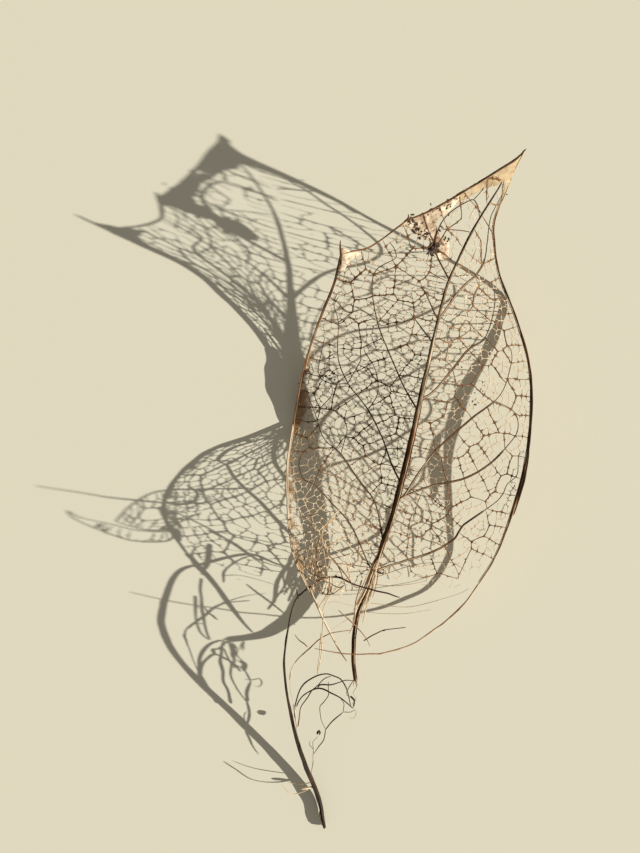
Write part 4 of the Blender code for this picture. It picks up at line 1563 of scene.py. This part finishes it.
@dataclass
class BladeNet(SubAssembly):
    """The net of small veins across the blade.

    The wear to the left and right of the midrib is what there is everywhere, and what the tear
    adds to it.
    """

    finish: ClassVar[Finish] = NET_WOOD
    plate: Plate
    left_wear: Range = (0.04, 0.16)
    right_wear: Range = (0.14, 0.5)
    apex_wear: float = 0.30
    worn_apex_from: float = 29.0
    pale_apex_from: float = 27.0
    tear_from: float = -2.0
    tear_reach: float = 7.0
    finest_half: float = 0.03
    apex_paleness: float = 1.05
    fine_paleness: float = 0.90
    plain_paleness: float = 0.48
    midrib: np.ndarray = field(init=False)

    def __post_init__(self) -> None:
        """Draw the midrib that parts the left of the net from the right."""
        self.midrib = smooth_curve(MIDRIB[MIDRIB_IN_BLADE:], 1.0)

    def beyond_midrib(self, place: Place) -> float:
        """How far a place is to the right of the midrib."""
        return place[0] - float(np.interp(place[1], self.midrib[:, 1], self.midrib[:, 0]))

    def wear(self, place: Place) -> float:
        """How worn the fine net is: most near the tear and the apex, and more on the right.

        Args:
            place: a place on the blade.

        Returns:
            The share of the fine veins that is missing there.
        """
        if place[1] > self.worn_apex_from:
            return self.apex_wear
        everywhere, more = self.right_wear if self.beyond_midrib(place) > 0 else self.left_wear
        return everywhere + more * held((self.tear_from - place[1]) / self.tear_reach)

    def paleness(self, place: Place, half: float) -> float:
        """How pale the net is: fine veins are paler, and so are those low on the left and those
        right of the midrib.

        Args:
            place: a place on the blade.
            half: half the width of the widest vein there.

        Returns:
            The paleness, from nought for black-brown to one for straw.
        """
        x, y = place
        fine = half < self.finest_half
        if y > self.pale_apex_from and fine:
            return self.apex_paleness
        pale = self.fine_paleness if fine else self.plain_paleness
        right = self.beyond_midrib(place)
        # Right of the midrib, where the blade faces the light, the net is paler: partly its own
        # colour, partly painted light.
        if right > 0:
            pale += 0.16 if fine else 0.24 * max(0.0, 1 - right / 7.0)
        low = held((7.0 - y) / 5.0) * held((-3.5 - x) / 3.0)
        return pale + 0.50 * max(low, held((-6.5 - y) / 2.0))

    def build(self) -> list[bpy.types.Object]:
        """Weave the net in two pieces, left and right of the midrib."""
        lines = [MIDRIB[MIDRIB_IN_BLADE:], LEFT_MARGIN, TOP_EDGE, RIGHT_MARGIN]
        veins = [smooth_curve(line, 2.2)[:, :2] for line in lines + LEFT_VEINS + RIGHT_VEINS]
        outline = np.vstack([veins[1][:-1], veins[2][:-1], veins[3], TORN_EDGE[::-1][1:-1]])
        net = NetPlan(wear=self.wear).draw(veins, outline)
        left = net.part(lambda place: self.beyond_midrib(place) < 0)
        right = net.part(lambda place: self.beyond_midrib(place) >= 0)
        log.info("net of %d and %d edges", len(left.edges), len(right.edges))
        weaver = StripWeaver()
        return [weaver.weave(left, self.plate.lift, self.paleness, "net_left"),
                weaver.weave(right, self.plate.lift, self.paleness, "net_right")]


@dataclass
class StandingFlap(SubAssembly):
    """The torn flap at the lower left, in two lobes, and the long fibre beside it."""

    edge_width: float = 0.12
    fibre_width: float = 0.15
    wear: float = 0.30
    paleness: float = 0.75

    def build(self) -> list[bpy.types.Object]:
        """Weave the net of each lobe, and spin their edges and the fibre."""
        made, strands = [], []
        for number, pair in enumerate(FLAPS):
            left, right = (smooth_curve(edge, 0.5) for edge in pair)
            flap = Flap(left, right)
            edges = list(flap.flat_edges())
            outline = np.vstack([edges[0], edges[1][::-1]])
            plan = NetPlan(middle_size=1.4, fine_size=0.75, middle_width=0.10, fine_width=0.065,
                           seed=5 + number, wear=lambda place: self.wear)
            made.append(StripWeaver(depth_to_width=1.2).weave(
                plan.draw(edges, outline), flap.lift, lambda place, half: self.paleness,
                f"flap_net_{number + 1}"))
            strands.extend(Strand(edge, (self.edge_width, self.edge_width * 0.8), (1.4,), 0.7,
                                  painted_lit_side=0.2) for edge in (left, right))
        strands.append(Strand(STANDING_FIBRE, (self.fibre_width, self.fibre_width, 0.10), (1.3,),
                              self.paleness, painted_lit_side=0.2, wander=0.03))
        return made + [StrandSpinner(70, 8).spin(strands, "flap_edges")]


@dataclass
class Stalk(SubAssembly):
    """The stalk: a thin strip on edge, torn from the midrib, with peel at its foot."""

    finish: ClassVar[Finish] = STALK_WOOD
    widths: tuple[float, ...] = (0.34, 0.50, 0.55, 0.54, 0.50, 0.44, 0.36, 0.30, 0.25, 0.22,
                                 0.20, 0.20, 0.18)
    tall: tuple[float, ...] = (2.2, 1.75, 1.4, 1.0, 1.1, 1.2, 1.4, 1.7, 2.0, 2.3, 2.4, 2.2, 1.6)

    def build(self) -> list[bpy.types.Object]:
        """Spin the strip, its ribs, its torn top and the fibres that hang from it."""
        line = smooth_curve(STALK, 0.6)
        widths = np.array(self.widths)
        half = spread(widths, np.linspace(0, 1, len(line))) / 2
        rib = {"wander": 0.04, "knots": 0.2}
        strands = [Strand(line, widths * 0.9, self.tall, 0.0, 0.05, knots=0.10),
                   Strand(offset_route(line, 0.5 * half, 0.9 * half), widths * 0.4, (1.3,), 0.0,
                          **rib),
                   Strand(offset_route(line, -0.85 * half, 0.4 * half), widths * 0.16, (1.3,),
                          0.45, 0.1, **rib),
                   Strand(STALK_ARC, (0.18, 0.20, 0.19, 0.17, 0.12), (1.6,), 0.06, 0.15,
                          wander=0.06, knots=0.2),
                   Strand([(-12.2, -9.6, 5.3), (-12.35, -8.9, 5.6), (-12.4, -8.3, 5.9)],
                          (0.16, 0.05), (1.2,), 0.05)]
        return [StrandSpinner(50, 12).spin(strands, "stalk"),
                spin_fibres(STALK_HOOPS, 51, "stalk_fibres"),
                spin_fibres(FOOT_FIBRES, 52, "stalk_peel")]


def spin_fibres(fibres: list[Fibre], seed: int, name: str) -> bpy.types.Object:
    """Spin loose fibres into one piece.

    Args:
        fibres: the fibres.
        seed: sets their unevenness.
        name: the piece's name.

    Returns:
        The piece.
    """
    strands = [Strand(fibre.route, (fibre.width, fibre.width, fibre.width * 0.6), (1.6,),
                      fibre.paleness, painted_lit_side=0.15, wander=0.04, knots=0.22, step=0.25)
               for fibre in fibres]
    return StrandSpinner(seed, 8).spin(strands, name)


@dataclass
class TornThreads(SubAssembly):
    """What hangs free below the tear: the two margins' threads and the loose fibres."""

    left_width: float = 0.21
    right_width: float = 0.18

    def build(self) -> list[bpy.types.Object]:
        """Spin the threads of the margins, and the fibres."""
        uneven = {"painted_lit_side": 0.2, "wander": 0.05, "knots": 0.2}
        margins = [Strand(LEFT_THREAD, (self.left_width, self.left_width, 0.10), (1.7,),
                          (0.85, 0.9, 0.4), **uneven),
                   Strand(RIGHT_THREAD, (self.right_width, self.right_width, 0.15, 0.12, 0.07),
                          (1.7,), (0.75, 0.6, 0.5, 0.3), **uneven)]
        return [StrandSpinner(60).spin(margins, "margin_threads"),
                spin_fibres(TORN_FIBRES, 61, "torn_fibres")]


@dataclass
class SkinScrap:
    """A scrap of dried skin that still fills a corner of the net."""

    name: str
    outline: list[Place]
    finish: DrySkin
    raggedness: float = 0.12
    grain: float = 0.30
    thickness: float = 0.03
    crumple: float = 0.05
    seed: int = 0

    def build(self, plate: Plate) -> bpy.types.Object:
        """Cut the scrap's ragged outline and lay it on the plate.

        Args:
            plate: the plate of the blade.

        Returns:
            The scrap, as a thin closed sheet.
        """
        chance = np.random.default_rng(self.seed)
        edge = smooth_curve(self.outline + self.outline[:1], 0.28)[:-1]
        edge = edge + chance.uniform(-1, 1, edge.shape) * self.raggedness
        low, high = edge.min(axis=0), edge.max(axis=0)
        grid = np.stack(np.meshgrid(np.arange(low[0], high[0], self.grain),
                                    np.arange(low[1], high[1], self.grain)), -1).reshape(-1, 2)
        grid = grid + chance.uniform(-0.3, 0.3, grid.shape) * self.grain
        grid = grid[inside(edge, grid)]
        loop = [(index, (index + 1) % len(edge)) for index in range(len(edge))]
        places, _, triangles, *_ = delaunay_2d_cdt(
            [tuple(place) for place in np.vstack([edge, grid])], loop, [], 0, 1e-4)
        places = np.array([tuple(place) for place in places])
        corners = np.array([list(triangle) for triangle in triangles])
        kept = corners[inside(edge, places[corners].mean(axis=1))]
        lifted = plate.lift(places)
        lifted[:, 2] += chance.uniform(-1, 1, len(lifted)) * self.crumple
        data = bpy.data.meshes.new(self.name)
        data.from_pydata((lifted * MM).tolist(), [], kept.tolist())
        scrap = new_object(self.name, data)
        thicken(scrap, self.thickness)
        apply_modifiers(scrap)
        return scrap

    def dress(self, piece: bpy.types.Object) -> None:
        """Give the scrap its finish and settle it."""
        settle(piece, self.finish)


SCRAPS: list[SkinScrap] = [
    SkinScrap("skin_at_apex", [
        (10.55, 36.6), (9.4, 35.65), (8.2, 34.9), (6.1, 33.8), (3.2, 32.1), (3.0, 31.2),
        (4.2, 31.9), (5.4, 32.6), (6.4, 33.1), (7.3, 33.5), (8.1, 33.7), (8.8, 34.1), (9.1, 33.6),
        (8.9, 32.3), (8.75, 31.0), (8.95, 31.0), (9.15, 32.3), (9.45, 33.5), (9.8, 35.1),
        (10.4, 36.3)], PALE_SKIN, 0.04, seed=1),
    SkinScrap("skin_along_top", [
        (4.4, 32.7), (2.2, 31.55), (0.6, 30.75), (-0.8, 30.2), (-1.8, 29.65), (-0.7, 29.4),
        (0.2, 28.9), (1.3, 28.4), (2.0, 27.6), (2.6, 26.9), (3.3, 26.8), (3.7, 27.5), (3.4, 28.4),
        (2.5, 28.9), (2.1, 29.4), (2.1, 30.2), (2.9, 30.9), (4.0, 31.9)], BROWN_SKIN, seed=2),
    SkinScrap("skin_in_corner", [
        (-7.7, 27.3), (-7.75, 26.2), (-7.9, 25.2), (-7.3, 25.6), (-6.6, 26.4), (-5.4, 27.0),
        (-6.5, 27.1)], BROWN_SKIN, 0.06, seed=4),
    SkinScrap("skin_on_left", [
        (-13.4, 6.6), (-12.9, 9.9), (-12.3, 13.0), (-11.6, 15.8), (-11.0, 17.2), (-10.9, 15.9),
        (-11.3, 13.4), (-11.6, 10.9), (-12.5, 8.3)], LACY_SKIN, 0.15, seed=5),
    SkinScrap("skin_low_on_left", [
        (-13.4, 6.6), (-13.5, 4.0), (-13.3, 0.5), (-13.1, -2.4), (-12.6, -5.0), (-11.9, -6.8),
        (-11.6, -5.6), (-12.2, -3.0), (-12.5, 0.0), (-12.6, 3.6), (-12.7, 6.2)], LACY_SKIN,
        0.12, seed=6),
]


@dataclass
class Crumbs(SubAssembly):
    """Crumbs of blackened tissue caught in the net.

    A cluster is its place, how far it spreads, how many crumbs it has, and their size.
    """

    finish: ClassVar[Finish] = DarkRot()
    plate: Plate
    clusters: tuple[tuple[float, float, float, int, float], ...] = (
        (2.15, 27.7, 0.28, 26, 0.26), (2.3, 28.4, 0.5, 16, 0.14), (1.1, 29.2, 0.4, 12, 0.16),
        (0.2, 29.1, 0.35, 10, 0.16), (-0.4, 30.0, 0.3, 14, 0.17), (1.6, 30.6, 0.4, 10, 0.12),
        (3.2, 31.6, 0.4, 12, 0.12), (5.2, 32.9, 0.3, 5, 0.10), (-8.8, 15.1, 0.35, 12, 0.14),
        (-12.0, 14.1, 0.2, 3, 0.10), (7.1, 13.6, 0.4, 6, 0.10), (6.9, 12.0, 0.4, 6, 0.10),
        (8.2, 13.9, 0.3, 4, 0.09), (3.3, 23.4, 0.2, 3, 0.10), (5.2, 16.0, 0.2, 3, 0.09),
        (9.1, 33.6, 0.3, 5, 0.08), (0.2, 5.7, 0.1, 1, 0.10), (-6.5, 5.6, 0.1, 1, 0.10),
        (-9.0, 11.2, 0.1, 2, 0.09), (-5.2, 6.3, 0.1, 2, 0.08), (-11.4, 11.7, 0.1, 2, 0.07),
    )
    strays: int = 70
    stray_tries: int = 400
    stray_across: Range = (-13, 13)
    stray_along: Range = (-4, 32)
    stray_size: float = 0.055
    lumpiness: float = 0.25
    wave_pace: float = 2.5
    seed: int = 8

    def build(self) -> list[bpy.types.Object]:
        """Shape each crumb as a lump of its own and gather them into one mesh."""
        chance = np.random.default_rng(self.seed)
        spots = [(x + chance.normal() * reach, y + chance.normal() * reach, size)
                 for x, y, reach, count, size in self.clusters for _ in range(count)]
        outline = np.vstack([np.array(LEFT_MARGIN)[:, :2], np.array(TOP_EDGE)[:, :2],
                             np.array(RIGHT_MARGIN)[:, :2]])
        strays = np.column_stack([chance.uniform(*reach, self.stray_tries)
                                  for reach in (self.stray_across, self.stray_along)])
        strays = strays[inside(outline, strays)][:self.strays]
        spots += [(x, y, self.stray_size) for x, y in strays]
        mesh = bmesh.new()
        for x, y, size in spots:
            made = bmesh.ops.create_icosphere(mesh, subdivisions=2, radius=1.0)["verts"]
            z = float(self.plate.heights(np.array([[x, y]]))[0])
            turn = chance.uniform(0, math.pi)
            long, thin = size * chance.uniform(0.6, 1.5), size * chance.uniform(0.3, 0.7)
            waves = chance.uniform(-1, 1, (3, 3)) * self.wave_pace
            for vert in made:
                lump = 1 + self.lumpiness * sum(
                    math.sin(float(wave @ np.array(vert.co)) * 2) for wave in waves)
                a, b, c = vert.co.x * long * lump, vert.co.y * thin * lump, vert.co.z * thin * lump
                vert.co = Vector((x + a * math.cos(turn) - b * math.sin(turn),
                                  y + a * math.sin(turn) + b * math.cos(turn), z + c)) * MM
        return [gather(mesh, "crumbs")]


@dataclass
class Setting:
    """The floor, the light and the camera."""

    camera_height: float = 0.10925
    camera_place: Place = (-0.00983, 0.00924)
    lens_to_frame: float = 1.11372
    sensor_height: float = 24.0
    nearest_seen: float = 0.002
    floor_size: float = 3.0
    light_way: Spot = (-2.10, 0.405, -1.0)
    light_spread: float = 0.65
    light_strength: float = 5.3
    light_colour: Colour = (1.0, 0.965, 0.92)
    fill_strength: float = 0.24
    fill_colour: Colour = (1.0, 0.955, 0.92)

    def floor(self) -> None:
        """Lay the pale floor that the leaf rests on."""
        bpy.ops.mesh.primitive_plane_add(size=self.floor_size, location=(0.0, 0.0, 0.0))
        floor = bpy.context.active_object
        floor.name = "floor"
        floor.data.materials.append(PaleFloor().make())

    def light(self) -> None:
        """A low key light from the right, and an even pale fill."""
        key = bpy.data.lights.new("key", "SUN")
        key.energy = self.light_strength
        key.angle = math.radians(self.light_spread)
        key.color = self.light_colour
        lamp = bpy.data.objects.new("key", key)
        lamp.rotation_euler = Vector(self.light_way).to_track_quat("-Z", "Y").to_euler()
        bpy.context.scene.collection.objects.link(lamp)
        world = bpy.data.worlds.new("fill")
        world.use_nodes = True
        sky = world.node_tree.nodes["Background"]
        sky.inputs["Color"].default_value = (*self.fill_colour, 1.0)
        sky.inputs["Strength"].default_value = self.fill_strength
        bpy.context.scene.world = world
        bpy.context.scene.view_settings.view_transform = "Standard"

    def camera(self) -> None:
        """Look straight down on the leaf."""
        lens = bpy.data.cameras.new("camera")
        lens.sensor_fit = "VERTICAL"
        lens.sensor_height = self.sensor_height
        lens.lens = self.sensor_height * self.lens_to_frame
        lens.clip_start = self.nearest_seen
        camera = bpy.data.objects.new("camera", lens)
        camera.location = (*self.camera_place, self.camera_height)
        bpy.context.scene.collection.objects.link(camera)
        bpy.context.scene.camera = camera


def main() -> None:
    """Build the leaf piece by piece, then its setting."""
    logging.basicConfig(level=logging.INFO, format="%(name)s: %(message)s")
    plate = make_plate()
    for part in (Midrib(), Margins(), SideVeins(plate), BladeNet(plate), StandingFlap(), Stalk(),
                 TornThreads(), Crumbs(plate)):
        part.dress(part.build())
    for scrap in SCRAPS:
        scrap.dress(scrap.build(plate))
    setting = Setting()
    setting.floor()
    setting.light()
    setting.camera()


if __name__ == "__main__":
    main()
